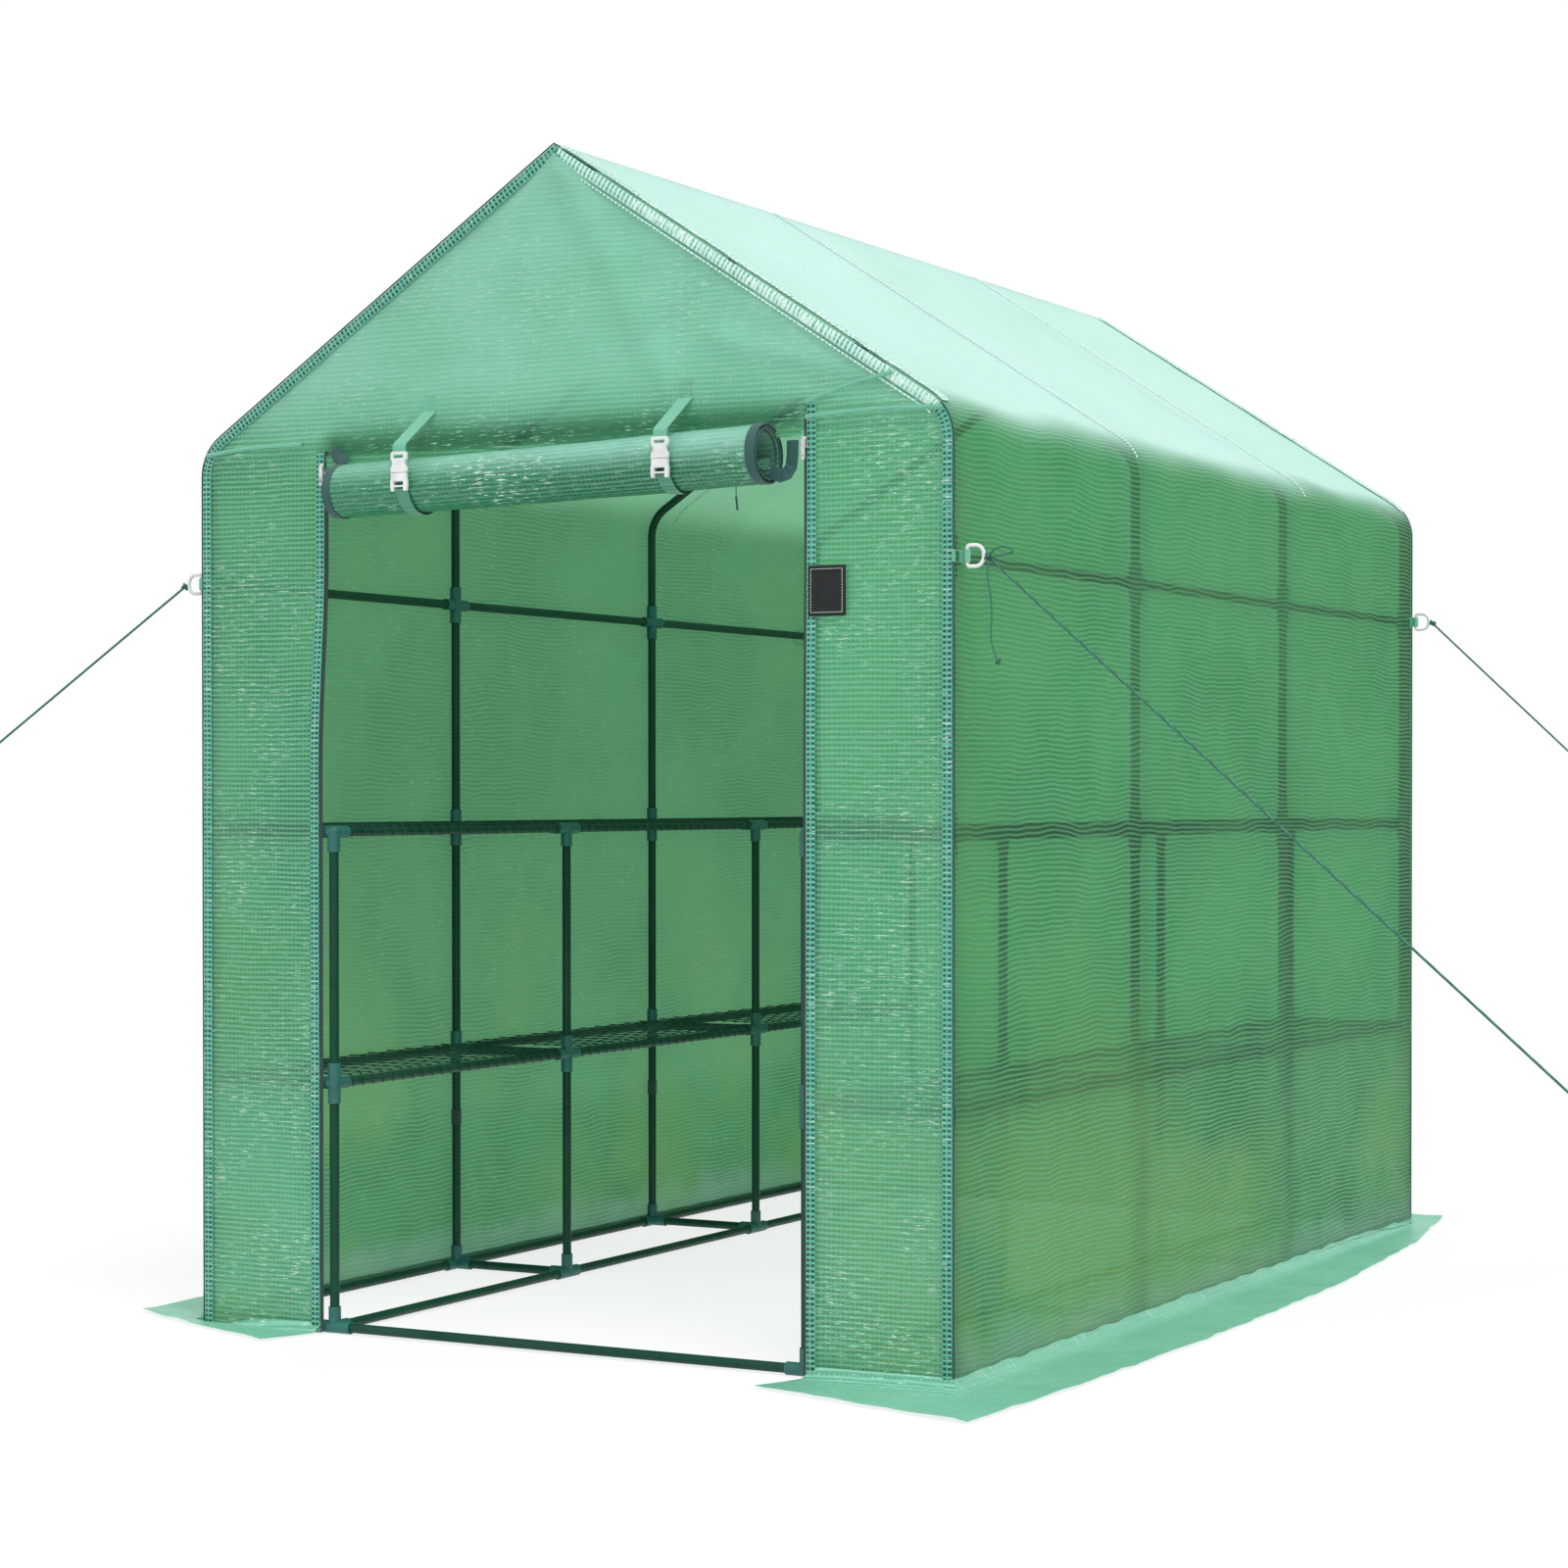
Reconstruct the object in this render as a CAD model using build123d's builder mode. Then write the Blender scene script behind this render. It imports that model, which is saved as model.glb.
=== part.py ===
"""Walk-in tube-frame greenhouse with a sewn mesh cover, a roll-up zip door and two tiers of wire shelves.

Millimetres. The origin is on the ground under the middle of the house. The door faces -Y, +X is the right-hand side
seen from the door, and +Z is up.
"""
from build123d import *
from functools import cache
from math import atan2, cos, pi, radians, sin, tan
import os

# ---------------------------------------------------------------- driving dimensions
WIDTH = 1430.0            # over the side walls
DEPTH = 2160.0            # over the front and rear walls
RIDGE = 1950.0            # top of the roof
EAVE = 1488.0             # height where wall and roof lines would cross
COVER = 1.2               # thickness of the reinforced sheet
EAVE_RADIUS = 80.0        # the cover rounds the eave
FLAP = 170.0              # ground flap, outwards from every wall

TUBE_R = 8.0
TUBE_WALL = 1.0
SLEEVE_R = 10.5           # plastic connectors slide over the tubes
FIT = 0.1                 # radial clearance of a tube in its sleeve
ARM_STEP = 0.15
ARM = 34.0                # connector arm, from the centre
STOP = 11.0               # bottom of each socket, from the centre
TUBE_END = 13.0           # tube end, from the connector's centre
COVER_TO_TUBE = 13.0      # cover's outer face to the tube's centre line

BAYS = 3
SHELF_WIDTH = 250.0       # outer post to inner post, centre to centre
LEVELS = {"base": SLEEVE_R, "low": 420.0, "mid": 842.0, "high": 1265.0}

DOOR_TOP = 1468.0
PANEL_TOP = 1440.0        # seam between the front panels and the gable
DOOR_HALF = 460.0
ROLL_HALF = 412.0
ROLL_R = 47.0
ROLL_Z = 1418.0
ROLL_OUT = 30.0           # the roll hangs in the doorway, its centre this far in front of the wall
STRAP_X = 247.0
STRAP_W = 25.0
STRAP_T = 1.2

HALF_W = WIDTH / 2
HALF_D = DEPTH / 2
POST_X = HALF_W - COVER_TO_TUBE
POST_Y = HALF_D - COVER_TO_TUBE
INNER_X = POST_X - SHELF_WIDTH
BAY = 2 * POST_Y / BAYS
FRAMES = [-POST_Y + BAY * i for i in range(BAYS + 1)]
ROOF_ANGLE = atan2(RIDGE - EAVE, HALF_W)
ROLL_Y = -(HALF_D + ROLL_OUT)
SIDES = {"left": -1, "right": 1}
CLEAR = 0.3

os.makedirs("parts", exist_ok=True)


# ---------------------------------------------------------------- helpers
def roof_z(x, inset):
    """Height of the roof line at x, moved inwards by inset square to the slope."""
    return EAVE + (HALF_W - abs(x)) * tan(ROOF_ANGLE) - inset / cos(ROOF_ANGLE)


def save(part, name):
    part.label = name
    export_step(part, f"parts/{name}.step")


def group(pieces, name):
    """Write separate solids of one kind as one node."""
    with BuildPart() as node:
        add(pieces)
    save(node.part, name)
    return node.part


def tube(start, end):
    """Steel tube between two connector centres, ending inside their sockets."""
    start, end = Vector(*start), Vector(*end)
    run = end - start
    with BuildPart() as piece:
        with BuildSketch(Plane(origin=start + run.normalized() * TUBE_END, z_dir=run)):
            Circle(TUBE_R)
            Circle(TUBE_R - TUBE_WALL, mode=Mode.SUBTRACT)
        extrude(amount=run.length - 2 * TUBE_END)
    return piece.part


@cache
def connector_shape(directions):
    """Plastic sleeve connector at the origin, with one socket for each direction."""
    arms = [Vector(*direction) for direction in directions]
    through = [arm for arm in arms if any((arm + other).length < FIT for other in arms)]
    single = [arm for arm in arms if arm not in through]
    # each arm is a hair slimmer than the one before, so no two cylinders share an edge
    radii = [SLEEVE_R - ARM_STEP * place for place in range(len(arms))]
    with BuildPart() as piece:
        Sphere(radii[-1] - ARM_STEP)
        for arm, radius in zip(through[::2] + single, radii):
            with BuildSketch(Plane(origin=(0, 0, 0), z_dir=arm)):
                Circle(radius)
            extrude(amount=ARM, both=arm in through)
        for arm in arms:
            with BuildSketch(Plane(origin=arm * STOP, z_dir=arm)):
                Circle(TUBE_R + FIT)
            extrude(amount=ARM - STOP, mode=Mode.SUBTRACT)
    return piece.part


def connector(centre, directions):
    """The same connector at its place in the frame."""
    return connector_shape(tuple(tuple(way) for way in directions)).moved(Location(centre))


def box(low, high):
    """Rectangular block between two opposite corners."""
    size = [b - a for a, b in zip(low, high)]
    middle = [(a + b) / 2 for a, b in zip(low, high)]
    with BuildPart() as piece:
        with BuildSketch(Plane.XY.offset(low[2])):
            with Locations((middle[0], middle[1])):
                Rectangle(size[0], size[1])
        extrude(amount=size[2])
    return piece.part


# ---------------------------------------------------------------- posts, rails and cross tubes
UP, DOWN, BACK, FRONT = (0, 0, 1), (0, 0, -1), (0, 1, 0), (0, -1, 0)
LEVEL_Z = list(LEVELS.values())
SHELF_Z = LEVEL_Z[:3]

for side, sign in SIDES.items():
    outer, inner = sign * POST_X, sign * INNER_X
    group([tube((outer, y, a), (outer, y, b)) for y in FRAMES for a, b in zip(LEVEL_Z, LEVEL_Z[1:])],
          f"outer_posts_{side}")
    group([tube((inner, y, a), (inner, y, b)) for y in FRAMES for a, b in zip(SHELF_Z, SHELF_Z[1:])],
          f"inner_posts_{side}")
    group([tube((outer, a, z), (outer, b, z)) for z in LEVEL_Z for a, b in zip(FRAMES, FRAMES[1:])],
          f"wall_rails_{side}")
    group([tube((inner, a, z), (inner, b, z)) for z in SHELF_Z for a, b in zip(FRAMES, FRAMES[1:])],
          f"shelf_rails_{side}")
    group([tube((inner, y, z), (outer, y, z)) for z in SHELF_Z for y in FRAMES],
          f"cross_tubes_{side}")

save(tube((-INNER_X, -POST_Y, SLEEVE_R), (INNER_X, -POST_Y, SLEEVE_R)), "threshold_tube")
save(tube((-INNER_X, POST_Y, SLEEVE_R), (INNER_X, POST_Y, SLEEVE_R)), "rear_base_tube")


# ---------------------------------------------------------------- connectors
def along(y):
    """Directions of the rails that leave a frame at y."""
    ways = []
    if y > FRAMES[0]:
        ways.append(FRONT)
    if y < FRAMES[-1]:
        ways.append(BACK)
    return ways


def is_end(y):
    return y in (FRAMES[0], FRAMES[-1])


CORNERS = [(sign, y) for sign in SIDES.values() for y in FRAMES]

group([connector((s * POST_X, y, SLEEVE_R), [UP, (-s, 0, 0), *along(y)]) for s, y in CORNERS],
      "base_connectors_outer")
group([connector((s * INNER_X, y, SLEEVE_R),
                 [UP, (s, 0, 0), *along(y), *([(-s, 0, 0)] if is_end(y) else [])]) for s, y in CORNERS],
      "base_connectors_inner")
group([connector((s * POST_X, y, z), [UP, DOWN, (-s, 0, 0), *along(y)])
       for s, y in CORNERS for z in (LEVELS["low"], LEVELS["mid"])],
      "shelf_connectors_outer")
group([connector((s * INNER_X, y, LEVELS["low"]), [UP, DOWN, (s, 0, 0), *along(y)]) for s, y in CORNERS],
      "shelf_connectors_inner")
group([connector((s * INNER_X, y, LEVELS["mid"]), [DOWN, (s, 0, 0), *along(y)]) for s, y in CORNERS],
      "shelf_top_connectors")
group([connector((s * POST_X, y, LEVELS["high"]), [UP, DOWN, *along(y)]) for s, y in CORNERS],
      "upper_connectors")


# ---------------------------------------------------------------- roof frame
EAVE_RUN = 170.0          # sloping leg of the bent eave tube
SPLICE = 60.0             # length of the sleeve that joins it to the rafter
TUBE_BEND = EAVE_RADIUS - COVER_TO_TUBE
EAVE_Z = roof_z(POST_X, COVER_TO_TUBE)
RIDGE_Z = roof_z(0, COVER_TO_TUBE)


def slope(sign):
    """Unit vector up the roof on one side."""
    return Vector(-sign * cos(ROOF_ANGLE), 0, sin(ROOF_ANGLE))


def eave_tube(sign, y):
    """Tube bent from the wall line into the roof line."""
    corner = Vector(sign * POST_X, y, EAVE_Z)
    top = corner + slope(sign) * EAVE_RUN
    with BuildPart() as piece:
        with BuildLine() as path:
            FilletPolyline((sign * POST_X, y, LEVELS["high"] + TUBE_END), corner, top, radius=TUBE_BEND)
        with BuildSketch(Plane(origin=path.line @ 0, z_dir=path.line % 0)):
            Circle(TUBE_R)
            Circle(TUBE_R - TUBE_WALL, mode=Mode.SUBTRACT)
        sweep(path=path.line)
    return piece.part


def rafter(sign, y):
    """Straight tube from the splice sleeve to the ridge connector."""
    start = Vector(sign * POST_X, y, EAVE_Z) + slope(sign) * (EAVE_RUN + 2 * CLEAR)
    run = Vector(0, y, RIDGE_Z) - start
    with BuildPart() as piece:
        with BuildSketch(Plane(origin=start, z_dir=run)):
            Circle(TUBE_R)
            Circle(TUBE_R - TUBE_WALL, mode=Mode.SUBTRACT)
        extrude(amount=run.length - TUBE_END)
    return piece.part


def splice(sign, y):
    """Plain sleeve over the joint between eave tube and rafter."""
    start = Vector(sign * POST_X, y, EAVE_Z) + slope(sign) * (EAVE_RUN - SPLICE / 2)
    with BuildPart() as piece:
        with BuildSketch(Plane(origin=start, z_dir=slope(sign))):
            Circle(SLEEVE_R)
            Circle(TUBE_R + FIT, mode=Mode.SUBTRACT)
        extrude(amount=SPLICE)
    return piece.part


for side, sign in SIDES.items():
    group([eave_tube(sign, y) for y in FRAMES], f"eave_tubes_{side}")
    group([rafter(sign, y) for y in FRAMES], f"rafters_{side}")
group([splice(s, y) for s, y in CORNERS], "rafter_sleeves")
group([connector((0, y, RIDGE_Z), [slope(1) * -1, slope(-1) * -1, *along(y)]) for y in FRAMES],
      "ridge_connectors")
group([tube((0, a, RIDGE_Z), (0, b, RIDGE_Z)) for a, b in zip(FRAMES, FRAMES[1:])], "ridge_tubes")


# ---------------------------------------------------------------- wire shelves
SHELF_T = 2.4
SHELF_OVERHANG = 8.0      # past the rail's centre line
SHELF_END_GAP = 40.0      # clears the connector arms
WIRE = 3.0
MESH_X = 24.0
MESH_Y = 39.0


@cache
def shelf_shape():
    """Flat wire grille, its underside on the origin."""
    width = SHELF_WIDTH + 2 * SHELF_OVERHANG
    length = BAY - 2 * SHELF_END_GAP
    with BuildPart() as piece:
        with BuildSketch():
            Rectangle(width, length)
            with GridLocations(MESH_X, MESH_Y, int(width // MESH_X), int(length // MESH_Y)):
                Rectangle(MESH_X - WIRE, MESH_Y - WIRE, mode=Mode.SUBTRACT)
        extrude(amount=SHELF_T)
    return piece.part


def shelf(sign, middle_y, z):
    """A shelf resting on the two rails of one bay."""
    middle_x = sign * (INNER_X + POST_X) / 2
    return shelf_shape().moved(Location((middle_x, middle_y, z + TUBE_R + CLEAR)))


for tier in ("low", "mid"):
    for side, sign in SIDES.items():
        group([shelf(sign, (a + b) / 2, LEVELS[tier]) for a, b in zip(FRAMES, FRAMES[1:])],
              f"shelves_{tier}_{side}")


# ---------------------------------------------------------------- cover
EAVE_TANGENT = EAVE_RADIUS * tan((pi / 2 - ROOF_ANGLE) / 2)
WALL_TOP = EAVE - EAVE_TANGENT - 20
SKIN = COVER / 2          # outer face to the sheet's middle


def roof_cover(sign):
    """One roof slope, rounded over the eave into the top of the side wall."""
    with BuildPart() as piece:
        with BuildSketch(Plane.XZ) as profile:
            with BuildLine() as line:
                FilletPolyline((sign * (HALF_W - SKIN), WALL_TOP + CLEAR),
                               (sign * (HALF_W - SKIN), roof_z(HALF_W - SKIN, SKIN)),
                               (0, roof_z(0, SKIN)), radius=EAVE_RADIUS - SKIN)
            trace(line_width=COVER)
        extrude(amount=HALF_D, both=True)
        split(bisect_by=Plane.YZ.offset(sign * CLEAR / 2), keep=Keep.TOP if sign > 0 else Keep.BOTTOM)
    return piece.part


def end_wall(low_z, y_outer):
    """Flat end wall under the roof, from low_z up to the ridge."""
    inset = COVER + CLEAR
    edge = HALF_W - inset
    shoulder = roof_z(edge, inset)
    with BuildPart() as piece:
        with BuildSketch(Plane.XZ.offset(-y_outer)):
            with BuildLine():
                FilletPolyline((-edge, low_z), (-edge, shoulder), (0, roof_z(0, inset)), (edge, shoulder),
                               (edge, low_z), radius=[EAVE_RADIUS - inset, CLEAR, EAVE_RADIUS - inset])
                Line((edge, low_z), (-edge, low_z))
            make_face()
        extrude(amount=COVER, dir=(0, 1 if y_outer < 0 else -1, 0))
    return piece.part


PANEL_EDGE = HALF_W - COVER - CLEAR
for side, sign in SIDES.items():
    save(roof_cover(sign), f"roof_cover_{side}")
    across = sorted((sign * (HALF_W - COVER), sign * HALF_W))
    save(box((across[0], -HALF_D, 0), (across[1], HALF_D, WALL_TOP)), f"side_cover_{side}")
    across = sorted((sign * DOOR_HALF, sign * PANEL_EDGE))
    save(box((across[0], -HALF_D, 0), (across[1], -HALF_D + COVER, PANEL_TOP)), f"front_cover_{side}")
save(end_wall(0, HALF_D), "rear_cover")
with BuildPart() as front_gable:
    add(end_wall(PANEL_TOP + CLEAR, -HALF_D))
    add(box((-DOOR_HALF, -HALF_D - COVER, PANEL_TOP), (DOOR_HALF, -HALF_D + 2 * COVER, DOOR_TOP)),
        mode=Mode.SUBTRACT)
save(front_gable.part, "front_gable_cover")

# ground flaps lie flat, cut back at the doorway
FLAP_CUT = 40.0           # the front flaps stop this far outside the doorway
flaps = [box((-HALF_W - FLAP, HALF_D + CLEAR, 0), (HALF_W + FLAP, HALF_D + FLAP, COVER))]
for sign in SIDES.values():
    across = sorted((sign * (HALF_W + CLEAR), sign * (HALF_W + FLAP)))
    flaps.append(box((across[0], -HALF_D - FLAP, 0), (across[1], HALF_D, COVER)))
    across = sorted((sign * (DOOR_HALF + FLAP_CUT), sign * HALF_W))
    flaps.append(box((across[0], -HALF_D - FLAP, 0), (across[1], -HALF_D - CLEAR, COVER)))
group(flaps, "ground_flaps")


# ---------------------------------------------------------------- roll-up door
CURTAIN_BACK = -(HALF_D + 2 * COVER)
CURTAIN_TOP = DOOR_TOP + 2
CURTAIN_OUT = CURTAIN_BACK - COVER - ROLL_Y
CURTAIN_FOOT = ROLL_Z + (ROLL_R ** 2 - CURTAIN_OUT ** 2) ** 0.5 + CLEAR      # just above the roll
with BuildPart() as door_roll:
    with BuildSketch(Plane.YZ.offset(-ROLL_HALF)):
        with Locations((ROLL_Y, ROLL_Z)):
            Circle(ROLL_R)
    extrude(amount=2 * ROLL_HALF)
save(door_roll.part, "door_roll")

save(box((-ROLL_HALF, CURTAIN_BACK - COVER, CURTAIN_FOOT), (ROLL_HALF, CURTAIN_BACK, CURTAIN_TOP)),
     "door_curtain")

# ---------------------------------------------------------------- zips
ZIP_W = 7.0
ZIP_T = 2.0
ZIP_FRONT = -(HALF_D + CLEAR + ZIP_T)
SLIDER_Z = 1448.0
SLIDER_W, SLIDER_D, SLIDER_H = 13.0, 5.0, 18.0
SLIDER_TAPER = 80
SLIDER_BACK = ZIP_FRONT - CLEAR
SLIDER_FACE = SLIDER_BACK - SLIDER_D
BRIDGE_Z, BRIDGE_H, BRIDGE_D = SLIDER_Z + 3, 5.0, 2.0
PULL_W, PULL_T, PULL_H = 7.0, 1.6, 34.0
PULL_TOP = SLIDER_Z + 6

group([box((s * DOOR_HALF - ZIP_W / 2, ZIP_FRONT, COVER + CLEAR),
           (s * DOOR_HALF + ZIP_W / 2, ZIP_FRONT + ZIP_T, CURTAIN_TOP)) for s in SIDES.values()], "zip_chains")


def zip_slider(x):
    """Slider body, the bridge on its face and the pull that hangs from the bridge."""
    with BuildPart() as piece:
        with BuildSketch(Plane.XZ.offset(-SLIDER_BACK)):
            with Locations((x, SLIDER_Z)):
                Trapezoid(SLIDER_W, SLIDER_H, SLIDER_TAPER)
        extrude(amount=SLIDER_D)
        with BuildSketch(Plane.XZ.offset(-SLIDER_FACE)):
            with Locations((x, BRIDGE_Z)):
                Rectangle(PULL_W / 2, BRIDGE_H)
        extrude(amount=BRIDGE_D)
        with BuildSketch(Plane.XZ.offset(-SLIDER_FACE + BRIDGE_D)):
            with Locations((x, PULL_TOP - PULL_H / 2)):
                SlotCenterToCenter(PULL_H - PULL_W, PULL_W, rotation=90)
            with Locations((x, PULL_TOP - PULL_H + PULL_W)):
                Circle(PULL_W / 4, mode=Mode.SUBTRACT)
        extrude(amount=PULL_T)
    return piece.part


for side, sign in SIDES.items():
    save(zip_slider(sign * DOOR_HALF), f"zip_slider_{side}")

# ---------------------------------------------------------------- door straps and buckles
BUCKLE_W, BUCKLE_T = 32.0, 9.0
BUCKLE_BACK = ROLL_Y - ROLL_R - 2
BUCKLE_MID = BUCKLE_BACK - BUCKLE_T / 2
BUCKLE_TOP = ROLL_Z + 42
BUCKLE_SPLIT = ROLL_Z + 8
BUCKLE_FOOT = ROLL_Z - 22
BUCKLE_CORNER = 3.0
MOUTH_W, MOUTH_T, MOUTH_H = 25.0, 5.6, 22.0
WINDOW_Z, WINDOW_H = BUCKLE_SPLIT + 13, 11.0
PRONGS, PRONG_PITCH = 3, 9.0
PRONG_W, PRONG_T, PRONG_H = 4.0, 4.0, 19.0
PRONG_ROOT = 2.0          # the prongs start inside the plate
SLOT_Z, SLOT_W, SLOT_H = BUCKLE_FOOT + 8, 25.0, 4.0

STRAP_SEAM = 1532.0       # the strap is sewn on the gable here
STRAP_SEWN = 26.0
STRAP_BACK = -(HALF_D + CLEAR + STRAP_T / 2)
STRAP_TURN = 12.0         # straight length above the buckle
WRAP_GAP = 1.5


def strap(points, radii, x):
    """Webbing strip that follows a path seen from the side."""
    with BuildPart() as piece:
        with BuildSketch(Plane.YZ.offset(x - STRAP_W / 2)):
            with BuildLine():
                FilletPolyline(*points, radius=radii)
            trace(line_width=STRAP_T)
        extrude(amount=STRAP_W)
    return piece.part


def buckle_socket(x):
    """Upper half of a side-release buckle, open at the bottom and at both sides."""
    with BuildPart() as piece:
        with BuildSketch(Plane.XZ.offset(-BUCKLE_BACK)):
            with Locations((x, (BUCKLE_TOP + BUCKLE_SPLIT) / 2)):
                RectangleRounded(BUCKLE_W, BUCKLE_TOP - BUCKLE_SPLIT, BUCKLE_CORNER)
        extrude(amount=BUCKLE_T)
        with BuildSketch(Plane.XY.offset(BUCKLE_SPLIT)):
            with Locations((x, BUCKLE_MID)):
                Rectangle(MOUTH_W, MOUTH_T)
        extrude(amount=MOUTH_H, mode=Mode.SUBTRACT)
        with BuildSketch(Plane.YZ.offset(x - BUCKLE_W / 2)):
            with Locations((BUCKLE_MID, WINDOW_Z)):
                Rectangle(MOUTH_T, WINDOW_H)
        extrude(amount=BUCKLE_W, mode=Mode.SUBTRACT)
    return piece.part


def buckle_plug(x):
    """Lower half: a plate with a strap slot and three prongs."""
    top = BUCKLE_SPLIT - CLEAR
    with BuildPart() as piece:
        with BuildSketch(Plane.XZ.offset(-BUCKLE_BACK)):
            with Locations((x, (top + BUCKLE_FOOT) / 2)):
                RectangleRounded(BUCKLE_W, top - BUCKLE_FOOT, BUCKLE_CORNER)
            with Locations((x, SLOT_Z)):
                SlotOverall(SLOT_W, SLOT_H, mode=Mode.SUBTRACT)
        extrude(amount=BUCKLE_T)
        with BuildSketch(Plane.XY.offset(BUCKLE_SPLIT - PRONG_ROOT)):
            with Locations((x, BUCKLE_MID)):
                with GridLocations(PRONG_PITCH, 0, PRONGS, 1):
                    Rectangle(PRONG_W, PRONG_T)
        extrude(amount=PRONG_ROOT + PRONG_H)
    return piece.part


WRAP_BACK = ROLL_Y + ROLL_R + WRAP_GAP
WRAP_FOOT = ROLL_Z - ROLL_R - 6
WRAP_TOP = ROLL_Z + 32
STRAP_UPPER = [(STRAP_BACK, STRAP_SEAM + STRAP_SEWN), (STRAP_BACK, STRAP_SEAM),
               (BUCKLE_MID, BUCKLE_TOP + STRAP_TURN), (BUCKLE_MID, BUCKLE_TOP)]
STRAP_WRAP = [(BUCKLE_MID, BUCKLE_FOOT), (BUCKLE_MID, WRAP_FOOT), (WRAP_BACK, WRAP_FOOT),
              (WRAP_BACK, WRAP_TOP)]
STRAPS = [s * STRAP_X for s in SIDES.values()]
group([strap(STRAP_UPPER, [6, 8], x) for x in STRAPS], "strap_uppers")
group([strap(STRAP_WRAP, [28, 40], x) for x in STRAPS], "strap_wraps")
group([buckle_socket(x) for x in STRAPS], "buckle_sockets")
group([buckle_plug(x) for x in STRAPS], "buckle_plugs")


# ---------------------------------------------------------------- guy-rope rings on webbing tabs
RING_Z = LEVELS["high"]
RING_WIRE = 3.0           # radius
RING_BAR_X = HALF_W + 15
RING_REACH = 28.0
RING_HALF = 16.0
RING_CORNER, RING_NOSE = 5.0, 14.0
TAB_H, TAB_T = 19.0, 1.6
TAB_SEWN = 42.0           # length on the wall
TAB_EYE = RING_WIRE + 0.5


def ring(sign, y):
    """D-shaped ring, its straight bar next to the wall."""
    bar = sign * RING_BAR_X
    nose = sign * (RING_BAR_X + RING_REACH)
    low, high = RING_Z - RING_HALF, RING_Z + RING_HALF
    with BuildPart() as piece:
        with BuildLine() as path:
            FilletPolyline((bar, y, low), (bar, y, high), (nose, y, high), (nose, y, low),
                           radius=[RING_CORNER, RING_CORNER, RING_NOSE, RING_NOSE], close=True)
        with BuildSketch(Plane(origin=path.line @ 0, z_dir=path.line % 0)):
            Circle(RING_WIRE)
        sweep(path=path.line)
    return piece.part


def ring_tab(sign, y):
    """Webbing sewn on the wall and looped around the ring's bar."""
    wall = sign * (HALF_W + CLEAR)
    neck = RING_BAR_X - HALF_W - CLEAR
    with BuildPart() as piece:
        with BuildSketch(Plane.XY.offset(RING_Z - TAB_H / 2)):
            with Locations((wall + sign * TAB_T / 2, y)):
                Rectangle(TAB_T, TAB_SEWN)
            with Locations((wall + sign * neck / 2, y)):
                Rectangle(neck, 2 * TAB_T)
            with Locations((sign * RING_BAR_X, y)):
                Circle(TAB_EYE + TAB_T)
                Circle(TAB_EYE, mode=Mode.SUBTRACT)
        extrude(amount=TAB_H)
    return piece.part


RINGS = [(s, y) for s in SIDES.values() for y in (-POST_Y, POST_Y)]
group([ring(s, y) for s, y in RINGS], "d_rings")
group([ring_tab(s, y) for s, y in RINGS], "ring_tabs")

# ---------------------------------------------------------------- small trim
LABEL_X, LABEL_Z = DOOR_HALF + 8, 1179.0
LABEL_W, LABEL_H, LABEL_T = 66.0, 78.0, 1.4
LABEL_BACK = -(HALF_D + CLEAR)
save(box((LABEL_X, LABEL_BACK - LABEL_T, LABEL_Z), (LABEL_X + LABEL_W, LABEL_BACK, LABEL_Z + LABEL_H)),
     "label_patch")

TIE_Z, TIE_H = 276.0, 28.0
TIE_T = 1.8
ties = []
for sign, y in CORNERS:
    with BuildPart() as tie:
        with BuildSketch(Plane.XY.offset(TIE_Z)):
            with Locations((sign * POST_X, y)):
                Circle(TUBE_R + TIE_T)
                Circle(TUBE_R + CLEAR, mode=Mode.SUBTRACT)
        extrude(amount=TIE_H)
    ties.append(tie.part)
group(ties, "cover_ties")


# ---------------------------------------------------------------- guy ropes
ROPE_D = 4.0
TAIL_D = 3.0
# Each rope runs straight down from its ring to a knot, then round a hand-tied loop and back to the knot.
ROUTES = {
    "guy_rope_front_right": (ROPE_D, [
        (766, -1067, 1262), (1690, -1067, 463), (1707, -1053, 449), (1726, -1051, 432), (1735, -1067, 424),
        (1726, -1083, 432), (1707, -1081, 449), (1693, -1073, 460)]),
    "guy_rope_front_left": (ROPE_D, [
        (-766, -1067, 1262), (-1152, -1171, 956), (-1165, -1189, 943), (-1185, -1196, 927),
        (-1198, -1183, 919), (-1193, -1165, 927), (-1173, -1162, 943), (-1157, -1166, 953)]),
    "guy_rope_rear_right": (ROPE_D, [
        (766, 1067, 1262), (1121, 1130, 916), (1134, 1147, 901), (1152, 1152, 883), (1164, 1138, 874),
        (1158, 1120, 883), (1139, 1119, 901), (1125, 1125, 913)]),
    "rope_tail_front_right": (TAIL_D, [
        (767, -1070, 1254), (765, -1071, 1236), (772, -1071, 1204), (774, -1071, 1174), (772, -1072, 1140),
        (778, -1072, 1118), (785, -1073, 1104)]),
}


def bend_radii(points):
    """Largest arc that fits at each corner of a route."""
    spots = [Vector(*p) for p in points]
    radii = []
    for before, corner, after in zip(spots, spots[1:], spots[2:]):
        first, second = corner - before, after - corner
        turn = radians(first.get_angle(second))
        radii.append(0.45 * min(first.length, second.length) / tan(turn / 2))
    return radii


for name, (diameter, points) in ROUTES.items():
    radii = bend_radii(points)
    with BuildPart() as rope:
        with BuildLine() as route:
            FilletPolyline(*points, radius=radii)
        with BuildSketch(Plane(origin=route.line @ 0, z_dir=route.line % 0)):
            Circle(diameter / 2)
        sweep(path=route.line)
    save(rope.part, name)
    share = rope.part.volume / (pi * diameter ** 2 / 4 * route.wire().length)
    print(name, "radii", [round(r, 1) for r in radii], "length", round(route.wire().length, 1),
          "volume share", round(share, 4))
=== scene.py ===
from math import atan2, ceil, cos, hypot, pi, radians, sin, tan

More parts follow.
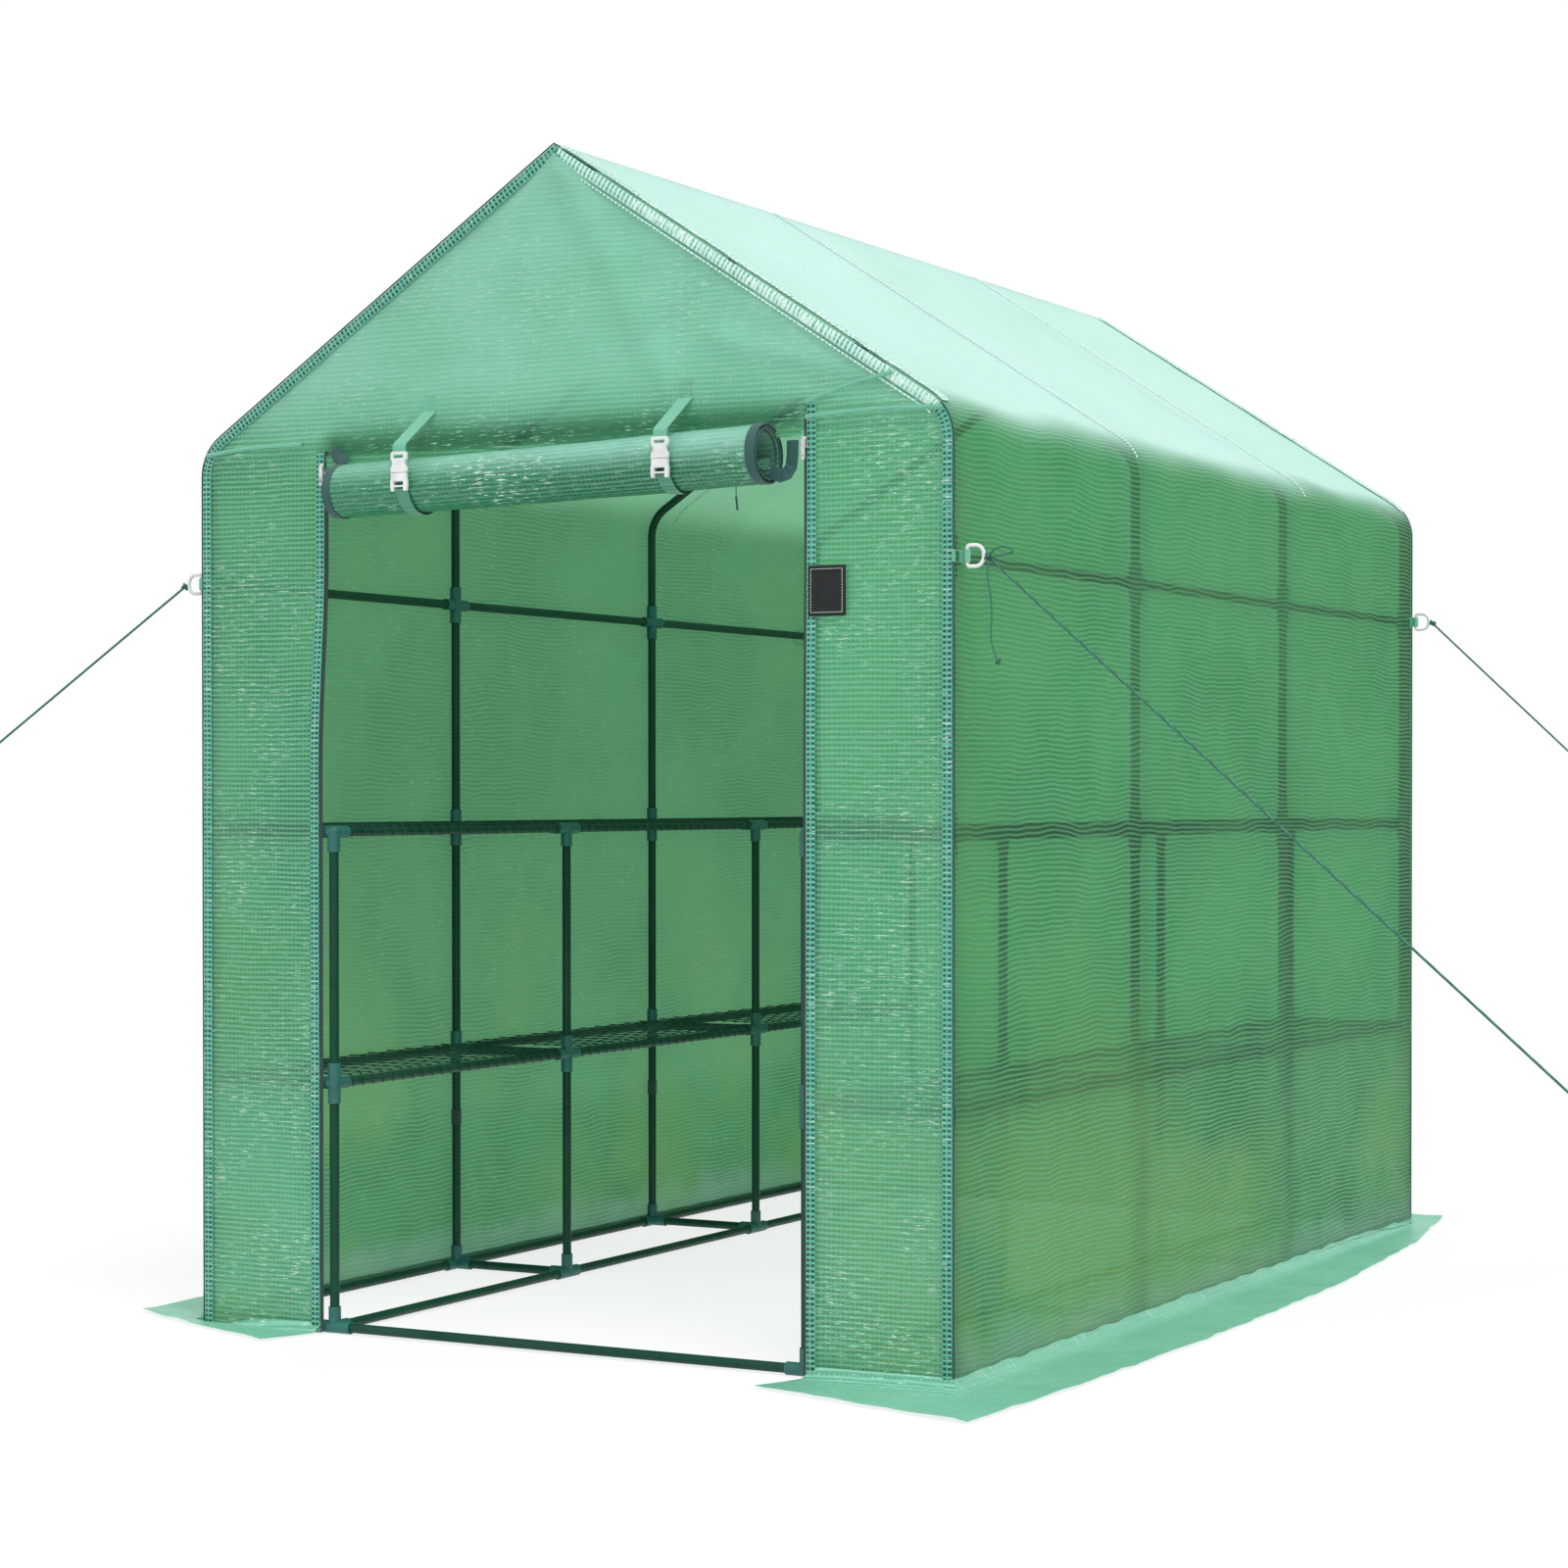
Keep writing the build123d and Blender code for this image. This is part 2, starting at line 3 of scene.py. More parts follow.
import bpy
import numpy as np
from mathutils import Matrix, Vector


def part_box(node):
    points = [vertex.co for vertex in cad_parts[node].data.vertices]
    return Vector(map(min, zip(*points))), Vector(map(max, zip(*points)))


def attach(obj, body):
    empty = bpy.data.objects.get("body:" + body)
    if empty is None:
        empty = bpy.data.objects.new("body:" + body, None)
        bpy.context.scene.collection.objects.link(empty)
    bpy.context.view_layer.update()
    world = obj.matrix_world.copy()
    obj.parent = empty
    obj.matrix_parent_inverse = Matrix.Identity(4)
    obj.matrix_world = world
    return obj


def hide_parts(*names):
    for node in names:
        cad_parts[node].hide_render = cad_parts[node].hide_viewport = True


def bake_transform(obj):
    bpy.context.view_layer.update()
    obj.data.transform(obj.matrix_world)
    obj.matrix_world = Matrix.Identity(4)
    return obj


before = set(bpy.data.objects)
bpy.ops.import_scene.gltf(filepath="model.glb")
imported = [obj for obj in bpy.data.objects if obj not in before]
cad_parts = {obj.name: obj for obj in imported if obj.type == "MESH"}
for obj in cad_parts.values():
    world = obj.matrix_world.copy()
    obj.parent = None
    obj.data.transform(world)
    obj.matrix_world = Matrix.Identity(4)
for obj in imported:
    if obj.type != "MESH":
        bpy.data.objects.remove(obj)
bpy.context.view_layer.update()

# ------------ sizes, in metres
HALF_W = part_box("side_cover_right")[1].x
HALF_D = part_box("rear_cover")[1].y
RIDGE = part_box("roof_cover_right")[1].z
EAVE = 1.488
EAVE_RADIUS = 0.08
DOOR_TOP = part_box("door_curtain")[1].z - 0.002
DOOR_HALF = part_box("front_cover_right")[0].x
POST_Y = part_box("threshold_tube")[1].y - 0.008
BAY = -2 * POST_Y / 3
FRAMES = [POST_Y + BAY * i for i in range(4)]
ROOF_ANGLE = atan2(RIDGE - EAVE, HALF_W)
EAVE_TURN = pi / 2 - ROOF_ANGLE
EAVE_START = EAVE - EAVE_RADIUS * tan(EAVE_TURN / 2)      # where the wall starts to bend
LEVELS = (0.0105, 0.42, 0.842, 1.265)
WEAVE = 0.0084


# ------------ camera
CAMERA_PLACE = (2.908, -5.517, 0.904)
CAMERA_TURN = radians(27.2)
CAMERA_DIP = radians(0.65)


def make_camera():
    data = bpy.data.cameras.new("camera")
    camera = bpy.data.objects.new("camera", data)
    bpy.context.collection.objects.link(camera)
    camera.location = CAMERA_PLACE
    camera.rotation_euler = (pi / 2 - CAMERA_DIP, 0, CAMERA_TURN)
    data.sensor_width = 36
    data.lens = 75.2
    data.shift_x = -0.0758
    data.shift_y = 0.0306
    data.clip_end = 200
    bpy.context.scene.camera = camera


make_camera()


# ------------ node helpers
class Shader:
    """A node tree under construction."""

    def __init__(self, name):
        self.material = bpy.data.materials.new(name)
        self.material.use_nodes = True
        self.nodes = self.material.node_tree.nodes
        self.links = self.material.node_tree.links
        self.nodes.clear()
        self.out = self.nodes.new("ShaderNodeOutputMaterial")

    def node(self, kind, settings=(), **inputs):
        made = self.nodes.new("ShaderNode" + kind)
        for key, value in dict(settings).items():
            setattr(made, key, value)
        for key, value in inputs.items():
            socket = made.inputs[int(key[1:])] if key[1:].isdigit() else made.inputs[key.replace("_", " ")]
            self.put(socket, value)
        return made

    def put(self, socket, value):
        if isinstance(value, bpy.types.NodeSocket):
            self.links.new(value, socket)
        elif isinstance(value, tuple) and socket.type == "RGBA":
            socket.default_value = (*value, 1) if len(value) == 3 else value
        else:
            socket.default_value = value

    def math(self, operation, a, b=0.0, c=0.0):
        return self.node("Math", {"operation": operation}, _0=a, _1=b, _2=c).outputs[0]

    def times(self, a, b):
        return self.math("MULTIPLY", a, b)

    def rest(self, share):
        """What a share leaves of one."""
        return self.math("SUBTRACT", 1.0, share)

    def stripes(self, value, pitch):
        """A triangle wave between 0 and 0.5."""
        return self.math("PINGPONG", self.math("DIVIDE", value, pitch), 0.5)

    def axes(self, where):
        return self.node("SeparateXYZ", Vector=where).outputs

    def point_value(self, name):
        """A number kept at each vertex of the mesh."""
        return self.node("Attribute", {"attribute_name": name}).outputs["Fac"]

    def noise(self, where, scale, detail=3.0, rough=0.55):
        made = self.node("TexNoise", Vector=where, Scale=scale, Detail=detail, Roughness=rough)
        return made.outputs["Fac"]

    def remap(self, value, low, high, to_low, to_high):
        made = self.node("MapRange", {"interpolation_type": "SMOOTHSTEP"}, Value=value)
        for key, number in (("From Min", low), ("From Max", high), ("To Min", to_low), ("To Max", to_high)):
            made.inputs[key].default_value = number
        return made.outputs["Result"]

    def mix(self, share, a, b):
        made = self.node("Mix", {"data_type": "RGBA"})
        self.put(made.inputs["Factor"], share)
        self.put(made.inputs[6], a)
        self.put(made.inputs[7], b)
        return made.outputs[2]

    def bump(self, height, distance, strength=0.6):
        return self.node("Bump", Height=height, Distance=distance, Strength=strength).outputs["Normal"]

    def place(self):
        return self.node("TexCoord").outputs["Object"]

    def plus(self, a, b):
        return self.math("ADD", a, b)

    def finish(self, surface):
        self.links.new(surface.outputs[0], self.out.inputs["Surface"])
        return self.material


TAPE_HALF = (0.10, 0.24, 0.34)       # parts of the weave: a tape's edge starts, ends across, ends along
PAINTED_SHADE_GREEN = (0.02, 0.12, 0.03)      # painted shade on the left half of the shell
PAINTED_SHADOW_GREEN = (0.015, 0.13, 0.065)    # painted shadow in the doubled cloth over the door
FOOT_PALE = (0.32, 0.52, 0.44)       # paler, ragged band at the foot of the walls
GLINT = (0.78, 0.95, 0.88)
WINDOW = (0.38, 0.76, 0.50)          # what the open weave lets through
CLOSED_BELOW = (0.20, 0.62)          # heights between which the walls turn see-through


def cover_material(name, dark, mid, thread, openness=0.2, glow=0.5, gloss=0.36, sparkle=0.5, clear=0.5,
                   olive=0.0, painted_top_light=None, roof=None, by_place=False, busy=0.0, swing=2.6):
    """Reinforced sheet: a film laminated on a square grid of flat tapes, drawn in the cloth's own metres."""
    s = Shader(name)
    place = s.place()
    where = place if by_place else s.node("UVMap", {"uv_map": "cloth"}).outputs["UV"]
    split = s.axes(where)
    across, up = split["X"], split["Z" if by_place else "Y"]
    level = s.axes(place)["Z"]

    # tapes and the film between them
    drift = s.times(s.math("SUBTRACT", s.noise(place, 5.0, 2.0), 0.5), WEAVE * swing)
    cell_u = s.stripes(s.plus(across, drift), WEAVE)
    cell_v = s.stripes(s.plus(up, drift), WEAVE)
    tape_u = s.times(s.remap(cell_u, TAPE_HALF[0], TAPE_HALF[1], 1.0, 0.0), 0.42 + 0.4 * (clear > 0.95))
    tape_v = s.remap(cell_v, TAPE_HALF[0], TAPE_HALF[2], 1.0, 0.0)
    tapes = s.math("MAXIMUM", tape_u, tape_v)
    patch = s.remap(s.noise(place, 2.4, 5.0, 0.6), 0.38, 0.68, 0.0, 1.0)
    see = s.plus(s.times(patch, clear), clear * 0.35)
    holes = s.mix(see, mid, dark)
    if olive:
        low = s.remap(level, 0.1, 1.1, olive, olive * 0.25)
        spots = s.times(low, s.remap(s.noise(place, 1.9, 4.0), 0.42, 0.60, 0.0, 1.0))
        holes = s.mix(spots, holes, (mid[0] * 1.7, mid[1] * 1.0, mid[2] * 0.50))
    colour = s.mix(tapes, holes, thread)

    # painted highlights: short bright glints along the tapes
    streaks = s.node("VectorMath", {"operation": "MULTIPLY"}, _0=where, _1=(45.0, 330.0, 330.0))
    dash = s.remap(s.noise(streaks.outputs[0], 1.0, 2.0, 0.6), 0.56 - busy, 0.68 - busy, 0.0, 1.0)
    area = s.remap(s.noise(place, 5.5, 4.0, 0.65), 0.42 - busy, 0.62 - busy, 0.2, 1.0)
    glint = s.times(s.times(dash, area), sparkle)

    # painted light: where the shell is marked pale, over the roof, its colour turns pale as if lit
    if roof:
        painted_light = s.point_value("painted_light")
        cloud = s.remap(s.noise(place, 3.5, 4.0), 0.3, 0.7, 0.0, 1.0)
        soft = s.mix(cloud, roof[0], roof[1])
        colour = s.mix(painted_light, colour, s.mix(s.times(tapes, 0.5), soft, roof[2]))
        glint = s.times(glint, s.rest(painted_light))
        # painted shade: the left half of the shell is darkened, more strongly higher up
        shady = s.point_value("shady")
        colour = s.mix(s.times(shady, s.remap(level, 0.1, 1.0, 0.26, 0.44)), colour, PAINTED_SHADE_GREEN)
        ragged = s.plus(level, s.times(s.noise(place, 9.0), 0.1))
        colour = s.mix(s.remap(ragged, 0.06, 0.15, 0.45, 0.0), colour, FOOT_PALE)
        low = s.remap(level, *CLOSED_BELOW, 0.88, 0.0)
        closed = s.math("MAXIMUM", s.math("MAXIMUM", painted_light, low), s.times(shady, 0.72))
        openness = s.times(s.rest(closed), openness)
        glow = s.math("SUBTRACT", glow, s.times(painted_light, 0.25))
    # painted light: the colour turns paler towards the top, as if lit from above
    if painted_top_light:
        start, end, most, tint = painted_top_light
        cloudy = s.remap(s.noise(place, 4.5, 5.0, 0.6), 0.36, 0.62, 0.80, 1.0)
        rise = s.times(s.remap(level, start, end, 0.0, most), cloudy)
        colour = s.mix(rise, colour, tint)
        low = s.remap(level, *CLOSED_BELOW, 0.80, 0.0)
        openness = s.times(s.rest(s.math("MAXIMUM", rise, low)), openness)
        glint = s.times(glint, s.rest(s.times(rise, 0.6)))
        # painted shadow: a dark band in the cloth over the door
        colour = s.mix(s.point_value("shade"), colour, PAINTED_SHADOW_GREEN)
    colour = s.mix(glint, colour, GLINT)

    relief = s.plus(tapes, s.times(s.noise(place, 60.0, 3.0), 0.8))
    normal = s.bump(relief, 0.0008, 0.5)
    smear = s.math("SUBTRACT", s.noise(place, 14.0), s.times(glint, 0.5))
    rough = s.remap(smear, 0.2, 0.8, gloss - 0.08, gloss + 0.2)
    skin = s.node("BsdfPrincipled", Base_Color=colour, Roughness=rough, Normal=normal, Specular_IOR_Level=0.4)
    through = s.node("BsdfTranslucent", Color=colour, Normal=normal)
    sheet = s.node("MixShader", Fac=glow, _1=skin.outputs[0], _2=through.outputs[0])
    window = s.node("BsdfTransparent", Color=WINDOW)
    gaps = s.times(s.rest(s.times(tapes, 0.6)), openness)
    return s.finish(s.node("MixShader", Fac=gaps, _1=sheet.outputs[0], _2=window.outputs[0]))


def metal_material(name, base, dark, rough, metallic=0.0, scale=40.0, glossy=0.5):
    """Painted or plated metal: fine orange peel, small scuffs and faint dust."""
    s = Shader(name)
    place = s.place()
    wear = s.remap(s.noise(place, scale, 6.0, 0.65), 0.52, 0.72, 0.0, 1.0)
    dust = s.remap(s.noise(place, 6.0, 4.0), 0.4, 0.75, 0.0, 0.2)
    colour = s.mix(dust, s.mix(wear, base, dark), tuple(c * 0.8 + 0.06 for c in base))
    roughness = s.remap(s.noise(place, scale * 3, 3.0), 0.3, 0.7, rough * 0.8, rough * 1.3)
    normal = s.bump(s.noise(place, scale * 12, 2.0), 0.0003, 0.3)
    return s.finish(s.node("BsdfPrincipled", Base_Color=colour, Roughness=roughness, Normal=normal,
                           Metallic=metallic, Specular_IOR_Level=glossy))


def plastic_material(name, base, rough, grain=900.0):
    """Moulded plastic: fine texture, flow marks and slight colour drift."""
    s = Shader(name)
    place = s.place()
    flow = s.remap(s.noise(place, 18.0, 5.0, 0.6), 0.3, 0.7, 0.0, 1.0)
    colour = s.mix(flow, tuple(c * 0.82 for c in base), tuple(min(1.0, c * 1.12) for c in base))
    roughness = s.remap(s.noise(place, 70.0, 3.0), 0.3, 0.7, rough * 0.85, rough * 1.2)
    normal = s.bump(s.noise(place, grain, 2.0), 0.0002, 0.35)
    return s.finish(s.node("BsdfPrincipled", Base_Color=colour, Roughness=roughness, Normal=normal))


def webbing_material(name, base, light, pitch=0.0016, rough=0.7):
    """Woven tape: a fine diagonal rib in the object's own place, with fuzz."""
    s = Shader(name)
    place = s.place()
    x, y, z = s.axes(place)
    ribs = s.stripes(s.plus(z, s.times(y, 0.6)), pitch)
    cross = s.stripes(s.plus(x, s.times(y, 0.3)), pitch * 1.3)
    weave = s.remap(s.plus(ribs, cross), 0.2, 0.8, 0.0, 1.0)
    fuzz = s.noise(place, 700.0, 2.0)
    relief = s.plus(weave, s.times(fuzz, 0.5))
    roughness = s.remap(fuzz, 0.3, 0.7, rough - 0.08, rough + 0.12)
    return s.finish(s.node("BsdfPrincipled", Base_Color=s.mix(weave, base, light), Roughness=roughness,
                           Normal=s.bump(relief, 0.0005, 0.6), Sheen_Weight=0.25))


MATERIALS = {
    "wall": cover_material("mesh_cover_wall", (0.020, 0.15, 0.065), (0.105, 0.37, 0.165), (0.14, 0.45, 0.22),
                           0.48, 0.60, sparkle=0.12, clear=0.9, olive=0.9, swing=4.0,
                           # painted light: the pale colours of the lit roof
                           roof=((0.50, 0.81, 0.735), (0.56, 0.845, 0.785), (0.61, 0.87, 0.82))),
    # painted light: the front panels use a lighter copy of the wall cloth, as the lit face
    "front": cover_material("mesh_cover_front", (0.02, 0.20, 0.12), (0.15, 0.47, 0.27), (0.21, 0.57, 0.36),
                            0.32, 0.45, sparkle=0.9, clear=0.6, olive=0.4, swing=1.2,
                            painted_top_light=(1.42, 1.60, 0.90, (0.33, 0.69, 0.545))),
    "hem": cover_material("mesh_cover_hem", (0.002, 0.07, 0.06), (0.01, 0.15, 0.11), (0.13, 0.48, 0.34),
                          0.0, 0.15, 0.26, sparkle=0.6, clear=1.0, swing=0.5),
    # the pale colours are a painted reflection along the hem of the right gable slope; the low roughness is
    # the film's own gloss
    "gloss": cover_material("mesh_cover_gloss_and_painted_reflection", (0.10, 0.38, 0.29), (0.36, 0.70, 0.60), (0.62, 0.88, 0.80),
                            0.0, 0.15, 0.16, sparkle=1.0, clear=0.9, busy=0.07, swing=0.5),
    # painted light and shade: darker colours than the front cloth paint the shade on the roll, and its top is
    # painted paler
    "rolled": cover_material("mesh_cover_rolled", (0.004, 0.10, 0.05), (0.028, 0.20, 0.095),
                             (0.06, 0.30, 0.16), 0.0, 0.10, 0.2, sparkle=0.9, clear=0.9, swing=0.8,
                             painted_top_light=(1.40, 1.465, 0.60, (0.38, 0.74, 0.61))),
    "curtain": cover_material("mesh_cover_curtain", (0.03, 0.22, 0.12), (0.13, 0.42, 0.23),
                              (0.19, 0.52, 0.32), 0.2, 0.5, sparkle=0.4, by_place=True),
    "flap": cover_material("mesh_cover_flap", (0.09, 0.34, 0.23), (0.18, 0.48, 0.33), (0.23, 0.56, 0.41),
                           0.0, 0.15, sparkle=0.5, clear=0.7, swing=1.0),
    "binding": webbing_material("dark_binding", (0.003, 0.045, 0.043), (0.012, 0.095, 0.088)),
    "webbing": webbing_material("green_webbing", (0.05, 0.27, 0.16), (0.20, 0.56, 0.40)),
    "strap": webbing_material("green_webbing_low", (0.03, 0.19, 0.11), (0.09, 0.35, 0.22)),
    "zip": webbing_material("zip_tape", (0.004, 0.018, 0.014), (0.015, 0.05, 0.04)),
    "tie": webbing_material("tie_strap", (0.004, 0.03, 0.022), (0.012, 0.07, 0.05), 0.0011, 0.85),
    "steel": metal_material("green_steel", (0.002, 0.046, 0.025), (0.001, 0.028, 0.016), 0.38, glossy=0.2),
    "wire": metal_material("green_wire", (0.005, 0.060, 0.038), (0.002, 0.03, 0.018), 0.45, glossy=0.3),
    "zip_metal": metal_material("zip_metal", (0.72, 0.73, 0.72), (0.36, 0.36, 0.35), 0.28, metallic=1.0),
    "connector": plastic_material("connector_plastic", (0.012, 0.11, 0.095), 0.5),
    "white": plastic_material("white_plastic", (0.66, 0.69, 0.68), 0.28),
    "thread": webbing_material("stitch_thread", (0.66, 0.84, 0.79), (0.92, 0.98, 0.96), 0.0006),
}


# ------------ mesh helpers
def wave(a, b, seed, size):
    """Smooth repeatable waviness from -1 to 1, its features about size metres long."""
    rng = np.random.default_rng(seed)
    total = np.zeros(np.broadcast(a, b).shape)
    for _ in range(7):
        angle = rng.uniform(0, 2 * pi)
        stretch = rng.uniform(0.6, 1.9)
        turn = rng.uniform(0, 2 * pi)
        total = total + np.sin((a * cos(angle) + b * sin(angle)) * 2 * pi * stretch / size + turn)
    return total / 7


def smooth(share):
    """Ease a share in and out between 0 and 1."""
    share = np.clip(share, 0, 1)
    return share * share * (3 - 2 * share)


def mesh_object(name, vertices, faces, material, rounded=True):
    data = bpy.data.meshes.new(name)
    data.from_pydata([tuple(v) for v in vertices], [], faces)
    data.materials.append(MATERIALS[material])
    data.polygons.foreach_set("use_smooth", [rounded] * len(data.polygons))
    data.update()
    made = bpy.data.objects.new(name, data)
    bpy.context.collection.objects.link(made)
    return made


SIDES = (("left", -1), ("right", 1))


def grid(*parts):
    """Places along a line or over a sheet, from arrays and numbers that broadcast together."""
    return np.stack(np.broadcast_arrays(*parts), axis=-1)


def part_way(a, b, share):
    """A place between two others."""
    return [p + (q - p) * share for p, q in zip(a, b)]


def sheet_object(name, points, cut, material):
    """A patch of cloth. points and cut are grids: places, and flat places in metres."""
    rows, columns = points.shape[:2]
    number = np.arange(rows * columns).reshape(rows, columns)
    faces = [(int(number[r, c]), int(number[r, c + 1]), int(number[r + 1, c + 1]), int(number[r + 1, c]))
             for r in range(rows - 1) for c in range(columns - 1)]
    made = mesh_object(name, points.reshape(-1, 3), faces, material)
    flat = cut.reshape(-1, 2)
    layer = made.data.uv_layers.new(name="cloth")
    corners = np.zeros(len(made.data.loops), int)
    made.data.loops.foreach_get("vertex_index", corners)
    layer.data.foreach_set("uv", flat[corners].ravel())
    return made


def point_values(piece, name, values):
    """Keep a number at each vertex, for the material to read."""
    layer = piece.data.attributes.new(name, "FLOAT", "POINT")
    layer.data.foreach_set("value", values.ravel())


def join(name, pieces):
    """Several objects as one, under one name."""
    bpy.ops.object.select_all(action="DESELECT")
    for piece in pieces:
        piece.select_set(True)
    bpy.context.view_layer.objects.active = pieces[0]
    bpy.ops.object.join()
    pieces[0].name = name
    pieces[0].data.name = name
    return pieces[0]


def ribbon(name, path, side, width, material, lift=None, crumple=0.0, seed=0, columns=4):
    """A narrow band along path. side is the direction across it and lift the direction it stands off."""
    path = np.array(path, float)
    side = np.broadcast_to(np.array(side, float), path.shape)
    along = np.concatenate([[0], np.cumsum(np.linalg.norm(np.diff(path, axis=0), axis=1))])
    across = np.linspace(0, width, columns)
    points = path[:, None, :] + side[:, None, :] * across[None, :, None]
    if lift is not None:
        shape = wave(along[:, None] + 0 * across, 6 * across[None, :] + 0 * along[:, None], seed, 0.06)
        dome = np.sin(pi * across / width)[None, :]
        points = points + np.array(lift, float) * (dome * 0.0012 + crumple * (1 + shape))[:, :, None]
    cut = grid(across[None, :], along[:, None])
    return sheet_object(name, points, cut, material)


def tube_mesh(path, radius, sides=8):
    """Vertices and faces of a round tube along a list of points."""
    path = [Vector(p) for p in path]
    vertices, faces = [], []
    reference = Vector((0.31, 0.22, 0.92)).normalized()
    for i, spot in enumerate(path):
        ahead = path[min(i + 1, len(path) - 1)] - path[max(i - 1, 0)]
        first = ahead.cross(reference).normalized()
        second = ahead.cross(first).normalized()
        for k in range(sides):
            turn = 2 * pi * k / sides
            vertices.append(spot + first * radius * cos(turn) + second * radius * sin(turn))
    for i in range(len(path) - 1):
        for k in range(sides):
            a, b = i * sides + k, i * sides + (k + 1) % sides
            faces.append((a, b, b + sides, a + sides))
    faces.append(tuple(range(sides))[::-1])
    faces.append(tuple(range((len(path) - 1) * sides, len(path) * sides)))
    return vertices, faces


def tubes_object(name, paths, radius, material, sides=8):
    vertices, faces = [], []
    for path in paths:
        more, rings = tube_mesh(path, radius, sides)
        faces += [tuple(i + len(vertices) for i in face) for face in rings]
        vertices += more
    return mesh_object(name, vertices, faces, material)


def settle(piece, body, slot, *nodes):
    """The piece rides on a body and stands for these CAD nodes; the slot is not used."""
    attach(piece, body)
    if nodes:
        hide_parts(*nodes)
    return piece


# ------------ guy ropes
ROPE_D = 0.004
TAIL_D = 0.003
# Each rope's length in metres, with its route in millimetres.
ROPES = {
    "guy_rope_front_right": (1.35, [
        (766, -1067, 1262), (784, -1067, 1246), (1672, -1067, 479), (1690, -1067, 463), (1707, -1053, 449),
        (1726, -1051, 432), (1735, -1067, 424), (1726, -1083, 432), (1707, -1081, 449), (1693, -1073, 460)]),
    "guy_rope_front_left": (0.634, [
        (-766, -1067, 1262), (-784, -1072, 1248), (-1134, -1166, 970), (-1152, -1171, 956),
        (-1165, -1189, 943), (-1185, -1196, 927), (-1198, -1183, 919), (-1193, -1165, 927),
        (-1173, -1162, 943), (-1157, -1166, 953)]),
    "guy_rope_rear_right": (0.632, [
        (766, 1067, 1262), (783, 1070, 1245), (1104, 1127, 933), (1121, 1130, 916), (1134, 1147, 901),
        (1152, 1152, 883), (1164, 1138, 874), (1158, 1120, 883), (1139, 1119, 901), (1125, 1125, 913)]),
    "rope_tail_front_right": (0.153, [
        (767, -1070, 1254), (765, -1071, 1236), (772, -1071, 1204), (774, -1071, 1174), (772, -1072, 1140),
        (778, -1072, 1118), (785, -1073, 1104)]),
}


def rope_material():
    """Thin braid: crossing strands that follow the rope's own length."""
    s = Shader("guy_rope_braid")
    place = s.place()
    x, y, z = s.axes(place)
    mask = s.remap(s.stripes(s.plus(x, s.math("SUBTRACT", z, y)), 0.0035), 0.1, 0.4, 0.0, 1.0)
    colour = s.mix(mask, (0.012, 0.075, 0.05), (0.035, 0.19, 0.13))
    return s.finish(s.node("BsdfPrincipled", Base_Color=colour, Normal=s.bump(mask, 0.0005, 0.7),
                           Roughness=s.remap(s.noise(place, 300.0), 0.3, 0.7, 0.55, 0.8)))


MATERIALS["rope"] = rope_material()


def knot(name, centre, size, radius, seed):
    """A small overhand knot as a trefoil of the same rope."""
    turn = np.linspace(0, 2 * pi, 60)
    spin = seed * 0.9
    x, y, z = (grid(np.sin(turn) + 2 * np.sin(2 * turn), np.cos(turn) - 2 * np.cos(2 * turn),
                    -1.6 * np.sin(3 * turn)) * size / 3).T
    turned = grid(x * cos(spin) - z * sin(spin), y, x * sin(spin) + z * cos(spin))
    return tubes_object(name, [turned + np.array(centre)], radius, "rope", 8)


def make_rope(name, route, diameter, lay):
    points = [[c / 1000 for c in point] for point in route]
    data = bpy.data.curves.new(name, "CURVE")
    data.dimensions = "3D"
    data.resolution_u = 12
    data.bevel_depth = diameter / 2
    data.bevel_resolution = 3
    data.use_fill_caps = True
    line = data.splines.new("NURBS")
    line.points.add(len(points) - 1)
    for spot, point in zip(line.points, points):
        spot.co = (*point, 1)
    line.order_u = 3
    line.use_endpoint_u = True
    data.materials.append(MATERIALS["rope"])
    made = bpy.data.objects.new(name + "_line", data)
    bpy.context.collection.objects.link(made)
    settle(made, "house", "rope", name)
    pieces = [settle(knot(name + "_end_knot", points[-1], 0.0042, diameter * 0.42, 1), "house", "rope")]
    if lay == "taut":
        hitch = knot(name + "_hitch", points[0], 0.0062, diameter * 0.5, 3)
        pieces.append(settle(hitch, "house", "rope"))
    if name == "guy_rope_front_right":
        bow = [(0.766, -1.069, 1.261), (0.777, -1.073, 1.272), (0.793, -1.073, 1.277), (0.806, -1.071, 1.274),
               (0.808, -1.070, 1.268), (0.797, -1.070, 1.265), (0.782, -1.071, 1.263), (0.767, -1.070, 1.258)]
        pieces.append(settle(tubes_object(name + "_bow", [bow], 0.0016, "rope", 8), "house", "rope"))


for rope_name, (rope_length, rope_route) in ROPES.items():
    tail = rope_name.startswith("rope_tail")
    make_rope(rope_name, rope_route, TAIL_D if tail else ROPE_D,
              "hanging" if tail else "taut")


# ------------ cover: the long sheet over walls and roof
def shell_profile(step=0.012):
    """Right-hand half of the cross-section, ground to ridge: evenly spaced points, normals and lengths."""
    bend = [(HALF_W - EAVE_RADIUS + EAVE_RADIUS * cos(turn), EAVE_START + EAVE_RADIUS * sin(turn))
            for turn in np.linspace(0, EAVE_TURN, 24)]
    outline = np.array([(HALF_W, 0.001), *bend, (0.0, RIDGE)])
    lengths = np.concatenate([[0], np.cumsum(np.hypot(*np.diff(outline, axis=0).T))])
    count = ceil(lengths[-1] / step)
    at = np.linspace(0, lengths[-1], count)
    spots = grid(*(np.interp(at, lengths, column) for column in outline.T))
    slopes = np.gradient(spots, axis=0)
    normals = grid(slopes[:, 1], -slopes[:, 0])
    return spots, normals / np.linalg.norm(normals, axis=1)[:, None], at


